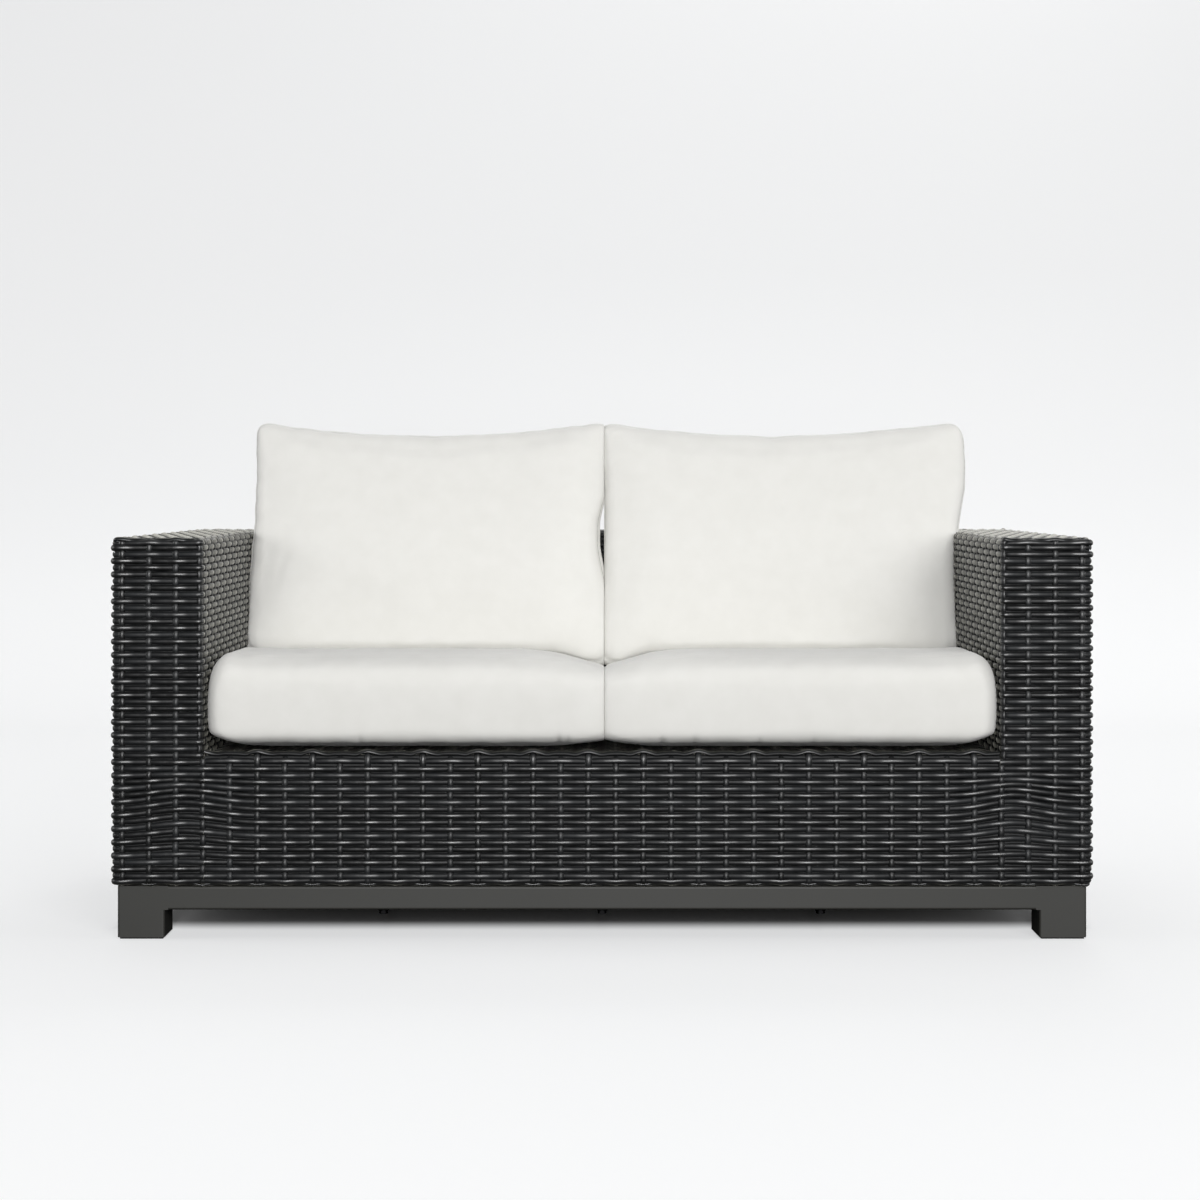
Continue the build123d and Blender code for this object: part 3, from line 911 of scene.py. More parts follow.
class PlanPath:
    """A path seen from above, of straight runs and quarter turns, with its outward side."""

    def __init__(self, radius: float, runs: Sequence[tuple]) -> None:
        """Keep the runs.

        Args:
            radius: Radius of each quarter turn.
            runs: ("line", start, end, normal) or ("turn", centre, first angle, last angle) in degrees.
        """
        self.radius, self.runs = radius, runs
        self.lengths = [math.dist(r[1], r[2]) if r[0] == "line" else radius * math.radians(abs(r[3] - r[2]))
                        for r in runs]
        self.length = sum(self.lengths)

    def at(self, distance: float) -> tuple[tuple[float, float], tuple[float, float]]:
        """Core point and outward direction at a distance along the path.

        Args:
            distance: Length from the start, in millimetres.

        Returns:
            The point on the core and the outward direction.
        """
        left = min(max(distance, 0.0), self.length)
        for run, length in zip(self.runs, self.lengths):
            if left <= length + 1e-9 or run is self.runs[-1]:
                share = min(left / length, 1.0)
                if run[0] == "turn":
                    angle = math.radians(run[2] + (run[3] - run[2]) * share)
                    return run[1], (math.cos(angle), math.sin(angle))
                x = run[1][0] + (run[2][0] - run[1][0]) * share
                y = run[1][1] + (run[2][1] - run[1][1]) * share
                return (x - run[3][0] * self.radius, y - run[3][1] * self.radius), run[3]
            left -= length
        raise ValueError("a path needs at least one run")


@dataclass
class WovenBody:
    """The woven skin of arms, back, apron and seat deck, cane by cane."""

    weaver: Weaver
    liner_finish: Material
    size: BodySizes = field(default_factory=BodySizes)
    liner_depth: float = 5.6
    liner_thickness: float = 0.8
    inset: float = 0.002

    def build(self) -> None:
        """Weave every stretch of skin and dress it."""
        for side, phase in ((1, 0), (-1, 1)):
            self._arm(side, phase)
        self._back()
        self._apron_and_deck()

    def _keep(self, piece: Piece, node: str) -> None:
        """Have a piece ride on the frame and stand for a CAD skin.

        Args:
            piece: The piece.
            node: The CAD skin's node.
        """
        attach(piece, "frame")
        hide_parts(node)

    def _both(self, patch: Patch, node: str, phase: int, rows: tuple[int, int], stakes: tuple[int, int],
              steps: int = WEFT.steps) -> None:
        """Wefts, stakes and liner of one patch.

        Args:
            patch: The stretch of skin.
            node: The CAD node that it stands for.
            phase: 0 or 1, whether the first crossing goes over or under.
            rows: First row and the one after the last.
            stakes: First stake and the one after the last.
            steps: Points of a weft for each stake.
        """
        for kind, cane, ends, span in (("wefts", replace(WEFT, steps=steps), patch.stakes, rows),
                                       ("stakes", STAKE, patch.rows, stakes)):
            run = (ends[0] + self.inset, ends[-1] - self.inset)
            self._keep(self.weaver.weave(patch, f"{patch.name}_{kind}", cane, run, span[0], span[1] - span[0],
                                         phase, cane is STAKE), node)
        self._keep(patch.liner(self.liner_depth, self.liner_thickness, self.liner_finish), node)

    def _arm(self, side: int, phase: int) -> None:
        """One arm: the belt under the seat's height, the belt over it and the top.

        Args:
            side: 1 for the right arm, -1 for the left.
            phase: 0 or 1, whether the first crossing goes over or under.
        """
        z = self.size
        word = "right" if side > 0 else "left"
        node = f"{word}_arm_weave"
        inner, outer, edge = z.arm_inner, z.half_width, z.edge
        front, rear = -z.half_depth, z.half_depth
        around = [("line", (inner + edge, front), (outer - edge, front), (0.0, -1.0)),
                  ("turn", (outer - edge, front + edge), -90.0, 0.0),
                  ("line", (outer, front + edge), (outer, rear - edge), (1.0, 0.0)),
                  ("turn", (outer - edge, rear - edge), 0.0, 90.0),
                  ("line", (outer - edge, rear), (inner, rear), (0.0, 1.0))]
        upper = PlanPath(edge, [("line", (inner, z.back_front), (inner, front + edge), (-1.0, 0.0)),
                                ("turn", (inner + edge, front + edge), 180.0, 270.0)] + around)
        lower = PlanPath(edge, [("line", (inner, front), (inner + edge, front), (0.0, -1.0))] + around)
        corner = upper.lengths[0] + z.roll / 2

        def stake_at(length: float) -> float:
            """Chart place of a length along the upper path."""
            return z.corner_stake + (length - corner) / z.stake

        def upper_place(stake: float, row: float) -> tuple:
            """Point and direction on the belt over the seat's height.

            Args:
                stake: Chart place along U, in stakes.
                row: Chart place along V, in rows.

            Returns:
                The point in millimetres and its outward direction.
            """
            past = stake - z.corner_stake
            core, normal = upper.at(corner + past * (z.stake if past > 0 else corner / z.corner_stake))
            return mirrored(side, *z.head_turn(core, normal, row))

        first_stake = stake_at(upper.lengths[0] + z.roll - edge)

        def lower_place(stake: float, row: float) -> tuple:
            """Point and direction on the belt under the seat's height.

            Args:
                stake: Chart place along U, in stakes.
                row: Chart place along V, in rows.

            Returns:
                The point in millimetres and its outward direction.
            """
            core, normal = lower.at((stake - first_stake) * z.stake)
            front_share = max(-normal[1], 0.0) ** 4
            stray = front_share * self._stray(side, core[0] + z.edge * normal[0], row)
            return mirrored(side, *z.foot_turn(core, normal, row, stray))

        last = stake_at(upper.length)
        at_turns, at_corner = 0.07, 0.1
        fine = [stake_at(length) + k * at_turns for length in np.cumsum(upper.lengths)[1:6]
                for k in (-6, -4, -3, -2, -1, 0, 1, 2, 3, 4, 6)]
        fine += [z.corner_stake + k * at_corner for k in range(-4, 5)]
        bends = [stake_at(sum(upper.lengths[:k]) + z.roll / 2) for k in (3, 5)]
        corners = [(bend, z.corner_swell * (1 if math.floor(bend) % 2 == 0 else -1)) for bend in bends]
        corners.append((z.corner_stake, -z.corner_swell / 2))

        def corner_swell(stake: float, row: float) -> float:
            """How much wider canes swing round the arm's corners, in millimetres."""
            return sum(height * math.exp(-((stake - at) / z.corner_width) ** 2) for at, height in corners)

        belt = Patch(f"{word}_arm_lower", steps_through(first_stake, last, 0.5, fine),
                     steps_through(-z.lip_rows, z.belt_row, 1.0, np.arange(-z.lip_rows, 0, 0.2)), lower_place,
                     corner_swell)
        self._both(belt, node, phase, (-z.lip_rows, z.belt_row), (int(z.corner_stake), z.arm_stakes))
        crest = z.top_row + z.edge_rows
        wall = Patch(f"{word}_arm_upper", steps_through(0.0, last, 0.5, fine),
                     steps_through(z.belt_row, crest, 2.0, np.arange(z.top_row, crest, 0.15)), upper_place,
                     corner_swell)
        self._both(wall, node, phase, (z.belt_row, crest), (0, z.arm_stakes))
        self._arm_top(side, phase, word, node)

    def _stray(self, side: int, x: float, row: float) -> float:
        """How far a row on the front strays upward where arm and apron meet, in millimetres.

        Args:
            side: 1 for the right arm, -1 for the left.
            x: Place from left to right, in millimetres.
            row: Row number.

        Returns:
            The rise in millimetres.
        """
        z = self.size
        rise, middle, spread = (12.0, 700.0, 70.0) if side < 0 else (13.0, 690.0, 62.0)
        rows_up, rows_down = 10.0, 6.0
        off = (abs(x) - middle) / spread
        low = min(max(row / rows_up, 0.0), 1.0)
        high = min(max((z.belt_row - 1 - row) / rows_down, 0.0), 1.0)
        return rise * math.exp(-off * off) * low * low * (3 - 2 * low) * high * high * (3 - 2 * high)

    def _arm_top(self, side: int, phase: int, word: str, node: str) -> None:
        """The arm's flat top, whose wefts run from front to rear, and the strip that meets the back.

        Args:
            side: 1 for the right arm, -1 for the left.
            phase: 0 or 1, whether the first crossing goes over or under.
            word: The side's word.
            node: The CAD node that the arm's skin stands for.
        """
        z = self.size
        front, rear = -z.half_depth + z.edge, z.half_depth - z.edge
        to_first_stake = z.edge / 2 + 12.5
        first = 0.5 - to_first_stake / z.stake
        last = first + (rear - front) / z.stake
        join = first + (z.back_front - front) / z.stake
        row = (z.half_width - z.arm_inner - 2 * z.edge) / z.arm_top_rows
        for part, start, first_stake, width, low, high in (
                ("top", first, 0, row, 0, z.arm_top_rows),
                ("strip", join, int(math.ceil(join)), z.edge, -1, 0)):

            def flat_place(stake: float, number: float) -> tuple:
                """Point and direction on the flat top."""
                x = z.arm_inner + z.edge + number * width
                return (x * side, front + (stake - first) * z.stake, z.top), (0.0, 0.0, 1.0)

            patch = Patch(f"{word}_arm_{part}", steps_through(start, last, 0.5),
                          steps_through(low, high, 1.0), flat_place)
            self._both(patch, node, phase, (low, high), (first_stake, z.arm_top_stakes))

    def _back(self) -> None:
        """The back: its front, top and rear in one cloth of canes."""
        z = self.size
        count = 30
        pitch = 2 * z.arm_inner / count
        wall = z.top_row - z.belt_row
        flat = z.half_depth - z.back_front - 2 * z.edge
        over = 16
        over_row = (flat + 2 * z.roll) / over
        rear_start = wall + over

        def place(stake: float, row: float) -> tuple:
            """Point and direction on the back, from its front's foot over the top and down its rear.

            Args:
                stake: Chart place along U, in stakes.
                row: Chart place along V, in rows.

            Returns:
                The point in millimetres and its outward direction.
            """
            x = z.arm_inner - stake * pitch
            if row <= wall:
                return (x, z.back_front, z.low + (z.belt_row + row) * z.row), (0.0, -1.0, 0.0)
            if row < rear_start:
                length = (row - wall) * over_row
                if length < z.roll:
                    return z.over_turn(x, z.back_front + z.edge, z.top, length / z.edge)
                if length > z.roll + flat:
                    angle = math.pi / 2 + (length - z.roll - flat) / z.edge
                    return z.over_turn(x, z.back_front + z.edge + flat, z.top, angle)
                return (x, z.back_front + z.edge + length - z.roll, z.top), (0.0, 0.0, 1.0)
            return z.foot_turn((x, z.half_depth - z.edge), (0.0, 1.0), z.top_row - (row - rear_start))

        stakes = steps_through(0.0, count, 1.0)
        turn_rows = 1.8
        turns = [*np.arange(wall, wall + turn_rows, 0.15),
                 *np.arange(rear_start - turn_rows, rear_start, 0.15)]
        last = rear_start + z.top_row + z.lip_rows
        for part, low, high, fine in (("front", 0, rear_start, [*turns, wall, rear_start]),
                                      ("rear", rear_start, last, np.arange(last - z.lip_rows, last, 0.2))):
            patch = Patch(f"back_{part}", stakes, steps_through(low, high, 2.0, fine), place)
            self._both(patch, "back_weave", 0, (low, high), (0, count), steps=6)

    def _apron_and_deck(self) -> None:
        """The front apron, which turns over the seat beam and goes on as the seat's deck."""
        z = self.size
        spans = 29
        corner_x = z.arm_inner + 3.5
        pitch = 2 * corner_x / spans
        wall = 17
        rise = z.deck - z.edge - z.low - wall * z.row
        deep = z.back_front + z.half_depth - z.edge
        deck_rows = 62
        deck_row = (rise + z.roll + deep) / deck_rows
        apron_last = wall + 4

        def place(stake: float, row: float) -> tuple:
            """Point and direction on the apron, from its foot over the seat beam and back along the deck.

            Args:
                stake: Chart place along U, in stakes.
                row: Chart place along V, in rows.

            Returns:
                The point in millimetres and its outward direction.
            """
            x = -corner_x + (stake - 0.5) * pitch
            length = (row - wall) * deck_row - rise
            if length <= 0:
                height = row if row <= wall else wall + (row - wall) * deck_row / z.row
                stray = self._stray(1 if x > 0 else -1, x, row)
                return z.foot_turn((x, -z.half_depth + z.edge), (0.0, -1.0), height, stray)
            at, width = z.edge_ridge_at
            level = z.deck + z.edge_ridge * math.exp(-((row - wall - at) / width) ** 2)
            if length < z.roll:
                return z.over_turn(x, -z.half_depth + z.edge, level, length / z.edge)
            return (x, -z.half_depth + z.edge + length - z.roll, level), (0.0, 0.0, 1.0)

        def edge_swell(stake: float, row: float) -> float:
            """How much wider canes swing on the apron's top edge, in millimetres."""
            at, width = z.edge_swell_at
            return z.edge_swell * abs(math.sin(math.pi * stake)) * math.exp(-((row - wall - at) / width) ** 2)

        first = 0.5 + (corner_x - z.arm_inner) / pitch
        stakes = steps_through(first, spans + 1 - first, 0.25)
        turn_rows = 3.6
        fine = [*np.arange(-z.lip_rows, 0, 0.2), *np.arange(wall, wall + turn_rows, 0.15)]
        apron = Patch("apron", stakes, steps_through(-z.lip_rows, apron_last, 1.0, fine), place, edge_swell)
        self._both(apron, "front_apron_weave", 0, (-z.lip_rows, apron_last), (1, spans))
        deck = Patch("deck", stakes[::2], steps_through(apron_last, wall + deck_rows, 2.0), place)
        self._both(deck, "seat_deck_weave", 0, (apron_last, wall + deck_rows), (1, spans), steps=4)


@dataclass
class Cushion:
    """A loose cushion: its CAD cover, softened as cloth under pressure, then given seams and puckers.

    Lengths are in millimetres, but for the cloth's settings.
    """

    body: str
    side: int
    fill: float
    reach: float = 7.0
    give: float = 1.0
    start_inside: float = 3.0
    same_point: float = 0.01
    voxel: float = 8.0
    cloth: tuple = (("quality", 5), ("mass", 0.4), ("tension_stiffness", 18.0),
                    ("compression_stiffness", 18.0), ("shear_stiffness", 6.0), ("bending_stiffness", 0.8),
                    ("use_pressure", True), ("uniform_pressure_force", 4.0))
    frames: int = 20
    seam_depth: float = 1.7
    seam_spread: float = 4.0
    seam_limit: float = 20.0
    open_seams: bool = True
    open_height: tuple = (20.0, 60.0)
    pucker: float = 1.5
    pucker_reach: float = 26.0
    pucker_length: float = 26.0
    slack: float = 2.5
    slack_lengths: tuple = (95.0, 42.0)
    calm: int = 45
    inner_fill: float = 9.0
    inner_reach: float = 70.0
    centre: float = 4.0
    half_gap: float = 0.15
    clearance: float = 0.2
    seed: int = 1

    @property
    def cover(self) -> str:
        """CAD node of the cover."""
        return self.body + "_cover"

    @property
    def name(self) -> str:
        """Name of the soft piece."""
        return self.cover + "_soft"

    @property
    def inner(self) -> float:
        """Where the cushion's side faces the other cushion of its pair."""
        return self.low[0] if self.side > 0 else self.high[0]

    def build(self, material: Material) -> Piece:
        """Make the cushion and have it stand for its CAD cover and filling.

        Args:
            material: The cover's finish.

        Returns:
            The soft piece.
        """
        piece = self._remeshed(self._outer_skin())
        self._inflate(piece)
        self._refine(piece)
        self._sculpt(piece)
        piece.data.materials.clear()
        piece.data.materials.append(material)
        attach(piece, self.body)
        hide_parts(self.cover, self.body + "_filling")
        log.info("%s: %d faces", self.name, len(piece.data.polygons))
        return piece

    def _outer_skin(self) -> Piece:
        """The outer surface of the CAD cover as a mesh of its own, a little smaller all round.

        Returns:
            The object, with the cover's box kept as low and high.
        """
        work = bmesh.new()
        work.from_mesh(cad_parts[self.cover].data)
        bmesh.ops.remove_doubles(work, verts=work.verts, dist=self.same_point * MM)
        left = set(work.verts)
        islands = []
        while left:
            seed = left.pop()
            island, edge = {seed}, [seed]
            while edge:
                vert = edge.pop()
                for near in (e.other_vert(vert) for e in vert.link_edges):
                    if near in left:
                        left.discard(near)
                        island.add(near)
                        edge.append(near)
            islands.append(island)
        outer = max(islands, key=lambda i: max(v.co.x for v in i) - min(v.co.x for v in i))
        bmesh.ops.delete(work, geom=[v for v in work.verts if v not in outer], context="VERTS")
        bmesh.ops.recalc_face_normals(work, faces=work.faces)
        points = np.array([v.co for v in work.verts])
        low, high = points.min(0), points.max(0)
        self.low, self.high = low / MM, high / MM
        middle, half = (low + high) / 2, (high - low) / 2
        share = (half - self.start_inside * MM) / half
        for vert in work.verts:
            vert.co = Vector(middle + (np.array(vert.co) - middle) * share)
        mesh = bpy.data.meshes.new(self.name)
        work.to_mesh(mesh)
        work.free()
        return piece_of(self.name, mesh)

    def _bake(self, piece: Piece) -> None:
        """Turn the object's modifiers into its mesh.

        Args:
            piece: The cushion's object.
        """
        mesh = evaluated(piece)
        piece.modifiers.clear()
        old = piece.data
        piece.data = mesh
        bpy.data.meshes.remove(old)
        mesh.name = self.name

    def _remeshed(self, piece: Piece) -> Piece:
        """Make even quads all over, without which cloth tears at long thin faces.

        Args:
            piece: The cushion's object.

        Returns:
            The same object.
        """
        remesh = piece.modifiers.new("even", "REMESH")
        remesh.mode, remesh.voxel_size = "VOXEL", self.voxel * MM
        self._bake(piece)
        return piece

    def _inflate(self, piece: Piece) -> None:
        """Blow the cover up a little as cloth, and cap how far each point has moved.

        Args:
            piece: The cushion's object.
        """
        start, outward = points_and_normals(piece.data)
        cloth = piece.modifiers.new("cloth", "CLOTH")
        for setting, value in self.cloth:
            setattr(cloth.settings, setting, value)
        cloth.settings.effector_weights.gravity = 0.0
        cloth.collision_settings.use_collision = False
        cloth.point_cache.frame_start, cloth.point_cache.frame_end = 1, self.frames
        scene = bpy.context.scene
        for number in range(1, self.frames + 1):
            scene.frame_set(number)
        self._bake(piece)
        scene.frame_set(1)
        moved = rows_of(piece.data.vertices, "co") - start
        inward = np.minimum((moved * outward).sum(1) + self.give * MM, 0.0)
        moved -= outward * inward[:, None]
        far = np.linalg.norm(moved, axis=1)
        log.info("%s: cloth moved %.1f mm at most", self.name, far.max() / MM)
        cap = self.reach * MM
        moved *= (cap * np.tanh(far / cap) / np.maximum(far, 1e-9))[:, None]
        move_points(piece.data, start + moved)

    def _refine(self, piece: Piece) -> None:
        """One round of subdivision, so that seams have points to lie on.

        Args:
            piece: The cushion's object.
        """
        finer = piece.modifiers.new("finer", "SUBSURF")
        finer.levels = finer.render_levels = 1
        even = piece.modifiers.new("calm", "SMOOTH")
        even.factor, even.iterations = 0.5, self.calm
        self._bake(piece)
        smooth(piece.data)

    def _sculpt(self, piece: Piece) -> None:
        """Press in seams, puckers, slack and marks, and keep the cushion off what it touches.

        Args:
            piece: The cushion's object.
        """
        points, normals = points_and_normals(piece.data)
        points = self._to_size(points / MM)
        seam = self.seam_distance(points)
        near = np.exp(-(seam / self.seam_spread) ** 2)
        folds = ripples(self.seam_lane(points) / self.pucker_length, self.seed)
        ruffle = np.exp(-np.abs(seam) / self.pucker_reach)
        long, short = self.slack_lengths
        soft = ripples(points / long, self.seed + 40) + 0.5 * ripples(points / short, self.seed + 80)
        depth = -self.seam_depth * near + self.pucker * folds * ruffle * (1 - 0.6 * near) + self.slack * soft
        points = points + normals * depth[:, None]
        points = self._meet(self.settle(self.marks(points, normals)), normals)
        move_points(piece.data, points * MM)
        # The seam attribute tells the canvas where to paint shade along a seam: only open seams get it, and
        # they lose it towards the cushion's foot.
        first, last = self.low[2] + np.array(self.open_height)
        hidden = 1 - eased(points[:, 2], first, last) if self.open_seams else 1.0
        away = np.clip(seam + np.sign(seam) * self.seam_limit * hidden, -self.seam_limit, self.seam_limit)
        piece.data.attributes.new("seam", "FLOAT", "POINT").data.foreach_set("value", away * MM)

    def _meet(self, points: np.ndarray, normals: np.ndarray) -> np.ndarray:
        """Press the two cushions of a pair flat against each other in the middle.

        Args:
            points: Points of the cushion, in millimetres.
            normals: Outward direction at each point.

        Returns:
            The points as moved.
        """
        near = 1 - eased(np.abs(points[:, 0] - self.inner), 0.0, self.inner_reach)
        facing = eased(-self.side * normals[:, 0], 0.0, 0.7)
        points[:, 0] -= self.side * self.inner_fill * near * facing * self.contact(points)
        limit = self.centre + self.half_gap * self.side
        points[:, 0] = (np.maximum if self.side > 0 else np.minimum)(points[:, 0], limit)
        return points

    def contact(self, points: np.ndarray) -> np.ndarray:
        """Share of the filling that presses towards the other cushion at each point."""
        return np.ones(len(points))

    def _to_size(self, points: np.ndarray) -> np.ndarray:
        """Stretch the cushion to the full size of its CAD cover."""
        low, high = points.min(0), points.max(0)
        return self.low + (points - low) * (self.high - self.low) / (high - low)

    def seam_distance(self, points: np.ndarray) -> np.ndarray:
        """Signed distance to the nearest seam, above zero on the strip between the panels."""
        raise NotImplementedError

    def seam_lane(self, points: np.ndarray) -> np.ndarray:
        """Place along the seams, the same for points that lie straight across a seam."""
        raise NotImplementedError

    def marks(self, points: np.ndarray, normals: np.ndarray) -> np.ndarray:
        """Shape this cushion's own dents."""
        raise NotImplementedError

    def settle(self, points: np.ndarray) -> np.ndarray:
        """Keep points inside what the neighbours leave free."""
        raise NotImplementedError


@dataclass
class SeatCushion(Cushion):
    """A boxed seat cushion, crowned on top, with a seam round the top and one round the foot."""

    open_seams: bool = False
    top_seam: float = 0.95
    foot_seam: float = 0.01
    inner_fill: float = 17.0
    upper_part: tuple = (0.55, 0.9)
    full_edge: Ramp = Ramp(4.0, 20.0, 150.0)
    full_corner: float = 8.0
    full_corner_at: tuple = (26.0, 22.0)
    inner_fall: Ramp = Ramp(7.0, 0.0, 170.0)
    front_fall: Ramp = Ramp(4.0, 0.0, 50.0)
    crown_fall: Ramp = Ramp(7.0, 40.0, 160.0)
    crown_outer: tuple = (30.0, 120.0)
    lower_part: tuple = (0.0, 0.4)
    foot_roll: Ramp = Ramp(15.0, 25.0, 190.0)
    outer_roll: Ramp = Ramp(7.5, 0.0, 60.0)
    press: Ramp = Ramp(24.0, -190.0, 50.0)
    press_part: tuple = (0.3, 0.95)
    sunk: Ramp = Ramp(24.0, 5.0, 85.0)
    sunk_part: tuple = (0.2, 0.95)
    pleats: tuple = ()
    pleat_reach: tuple = (4.0, 30.0)
    pleat_height: float = 20.0
    centre_shift: Ramp = Ramp(4.0, 0.0, 120.0)
    stand: float = 0.4

    def seam_distance(self, points: np.ndarray) -> np.ndarray:
        """Seams lie level, at a share of the cushion's height.

        Args:
            points: Points of the cushion, in millimetres.

        Returns:
            Distances in millimetres.
        """
        tall = self.high[2] - self.low[2]
        upper = self.low[2] + self.top_seam * tall
        lower = self.low[2] + self.foot_seam * tall
        return np.minimum(upper - points[:, 2], points[:, 2] - lower)

    def seam_lane(self, points: np.ndarray) -> np.ndarray:
        """Seams run round in plan."""
        return points * np.array([1.0, 1.0, 0.0])

    def marks(self, points: np.ndarray, normals: np.ndarray) -> np.ndarray:
        """Crown, rolled foot, the back cushion's hollow, pleats, and the middle seam's shift.

        Args:
            points: Points of the cushion, in millimetres.
            normals: Outward direction at each point.

        Returns:
            The points as moved.
        """
        up = (points[:, 2] - self.low[2]) / (self.high[2] - self.low[2])
        ahead = points[:, 1] - self.low[1]
        outer = self.high[0] - points[:, 0] if self.side > 0 else points[:, 0] - self.low[0]
        inner = (self.high[0] - self.low[0]) - outer
        upper = eased(up, *self.upper_part)
        at, width = self.full_corner_at
        points[:, 2] += self.full_edge.falling(outer) * upper
        points[:, 2] += self.full_corner * np.exp(-((outer - at) / width) ** 2) * upper
        points[:, 2] -= self.inner_fall.falling(inner) * upper
        points[:, 2] -= self.front_fall.falling(ahead) * upper
        points[:, 2] -= self.crown_fall.rising(ahead) * eased(outer, *self.crown_outer) * upper
        lower = (1 - eased(up, *self.lower_part)) ** 2
        points[:, 2] += self.foot_roll.falling(ahead) * lower
        points[:, 2] += self.outer_roll.falling(outer) * lower
        points[:, 2] -= self.press.rising(points[:, 1]) * eased(up, *self.press_part)
        points[:, 2] -= self.sunk.rising(points[:, 1]) * eased(up, *self.sunk_part)
        for x, height, depth in self.pleats:
            centre = (x, self.low[1], self.low[2] + self.pleat_height)
            weight = bump_at(points, centre, (*self.pleat_reach, height))
            points = points - normals * (weight * depth)[:, None]
        points[:, 0] += self.centre_shift.falling(np.abs(inner))
        return points

    def settle(self, points: np.ndarray) -> np.ndarray:
        """Stand on the deck, between the arms and before the back.

        Args:
            points: Points of the cushion, in millimetres.

        Returns:
            The points as moved.
        """
        points[:, 2] = np.maximum(points[:, 2], self.low[2] + self.stand)
        points[:, 1] = np.minimum(points[:, 1], self.high[1] - self.clearance)
        outer = (self.high[0] if self.side > 0 else -self.low[0]) - self.clearance
        points[:, 0] = np.clip(points[:, 0], -outer, outer)
        return points


@dataclass
class BackCushion(Cushion):
    """A back cushion with a deep foot and a narrow top, whose panels meet a side strip in two seams."""

    front_seam: float = 0.92
    rear_seam: float = 0.22
    front_part: tuple = (0.80, 0.97)
    widening: float = 7.0
    widening_at: tuple = (0.89, 0.13)
    widening_part: tuple = (0.8, 1.0)
    outer_part: tuple = (0.7, 1.0)
    bulge: tuple = (9.0, 3.0, 0.0, 0.0)
    bulge_at: tuple = (0.0, 0.42, 0.8, 1.0)
    corner_part: tuple = (0.86, 1.0)
    corner_spread: float = 4.0
    corner_rise: float = 5.0
    drop: float = 50.0
    drop_height: float = 150.0
    inner_drop: Ramp = Ramp(24.0, 0.72, 1.0)
    slit: tuple = (545.0, 650.0, 680.0, 770.0)
    slit_give: float = 1.6
    smoothness: int = 7
    lean: float = 122.0
    centre_shift: Ramp = Ramp(6.0, 0.0, 120.0)
    dents: tuple = ()

    def _share(self, points: np.ndarray) -> tuple[np.ndarray, np.ndarray]:
        """How far forward each point lies as a share of the depth there, and that depth.

        Args:
            points: Points of the cushion, in millimetres.

        Returns:
            The share and the depth at each point.
        """
        up = np.clip((points[:, 2] - self.low[2]) / (self.high[2] - self.low[2]), 0.0, 1.0)
        deep = (self.high[1] - self.low[1]) - self.lean * up
        return (self.high[1] - points[:, 1]) / deep, deep

    def seam_distance(self, points: np.ndarray) -> np.ndarray:
        """Seams lie at two shares of the depth, so that they lean with the cushion."""
        share, deep = self._share(points)
        return np.minimum(self.front_seam - share, share - self.rear_seam) * deep

    def seam_lane(self, points: np.ndarray) -> np.ndarray:
        """Seams run round as seen from the front."""
        return points * np.array([1.0, 0.0, 1.0])

    def contact(self, points: np.ndarray) -> np.ndarray:
        """The cushions touch at the head and at the foot; between, the left one falls back from a slit.

        Args:
            points: Points of the cushion, in millimetres.

        Returns:
            The share, below zero where the cushion falls back.
        """
        if self.side > 0:
            return np.ones(len(points))
        first, second, third, fourth = self.slit
        opened = Ramp(self.slit_give, first, second).rising(points[:, 2])
        return 1 - opened * Ramp(1.0, third, fourth).falling(points[:, 2])

    def _even_front(self, points: np.ndarray, normals: np.ndarray) -> np.ndarray:
        """Draw the front panel taut: its depth follows one smooth low-order surface.

        Args:
            points: Points of the cushion, in millimetres.
            normals: Outward direction at each point.

        Returns:
            The points as moved.
        """
        across, _, up = ((points - (self.low + self.high) / 2) / (self.high - self.low) * 2).T
        front = eased(-normals[:, 1], *self.front_part)
        chosen = front > 0.5
        fit = np.polynomial.chebyshev.chebvander2d(across, up, [self.smoothness, self.smoothness])
        factors, *_ = np.linalg.lstsq(fit[chosen], points[chosen, 1], rcond=None)
        points[:, 1] += (fit @ factors - points[:, 1]) * front
        return points

    def marks(self, points: np.ndarray, normals: np.ndarray) -> np.ndarray:
        """Taut front, fuller edge and corners, sunk foot, dents, and the middle seam's shift.

        Args:
            points: Points of the cushion, in millimetres.
            normals: Outward direction at each point.

        Returns:
            The points as moved.
        """
        points = self._even_front(points, normals)
        share, _ = self._share(points)
        sideways = (points[:, 0] - (self.low[0] + self.high[0]) / 2) / ((self.high[0] - self.low[0]) / 2)
        up = (points[:, 2] - self.low[2]) / (self.high[2] - self.low[2])
        outer = eased(self.side * sideways, *self.outer_part)
        at, width = self.widening_at
        fuller = np.exp(-((share - at) / width) ** 2) * eased(np.abs(sideways), *self.widening_part)
        points[:, 0] += self.widening * np.sign(sideways) * fuller * (1.1 - up)
        points[:, 0] += self.side * outer * np.polyval(np.polyfit(self.bulge_at, self.bulge, 3), up)
        corner = eased(np.abs(sideways), *self.corner_part) * eased(up, *self.corner_part)
        points[:, 0] += self.corner_spread * np.sign(sideways) * corner
        points[:, 2] += self.corner_rise * corner
        drop = self.drop + self.inner_drop.rising(-self.side * sideways)
        points[:, 2] -= drop * (1 - eased(points[:, 2], self.low[2], self.low[2] + self.drop_height))
        for centre, reach, depth in self.dents:
            points = points - normals * (bump_at(points, centre, reach) * depth)[:, None]
        points[:, 0] += self.centre_shift.falling(np.abs(points[:, 0] - self.inner))
        return points

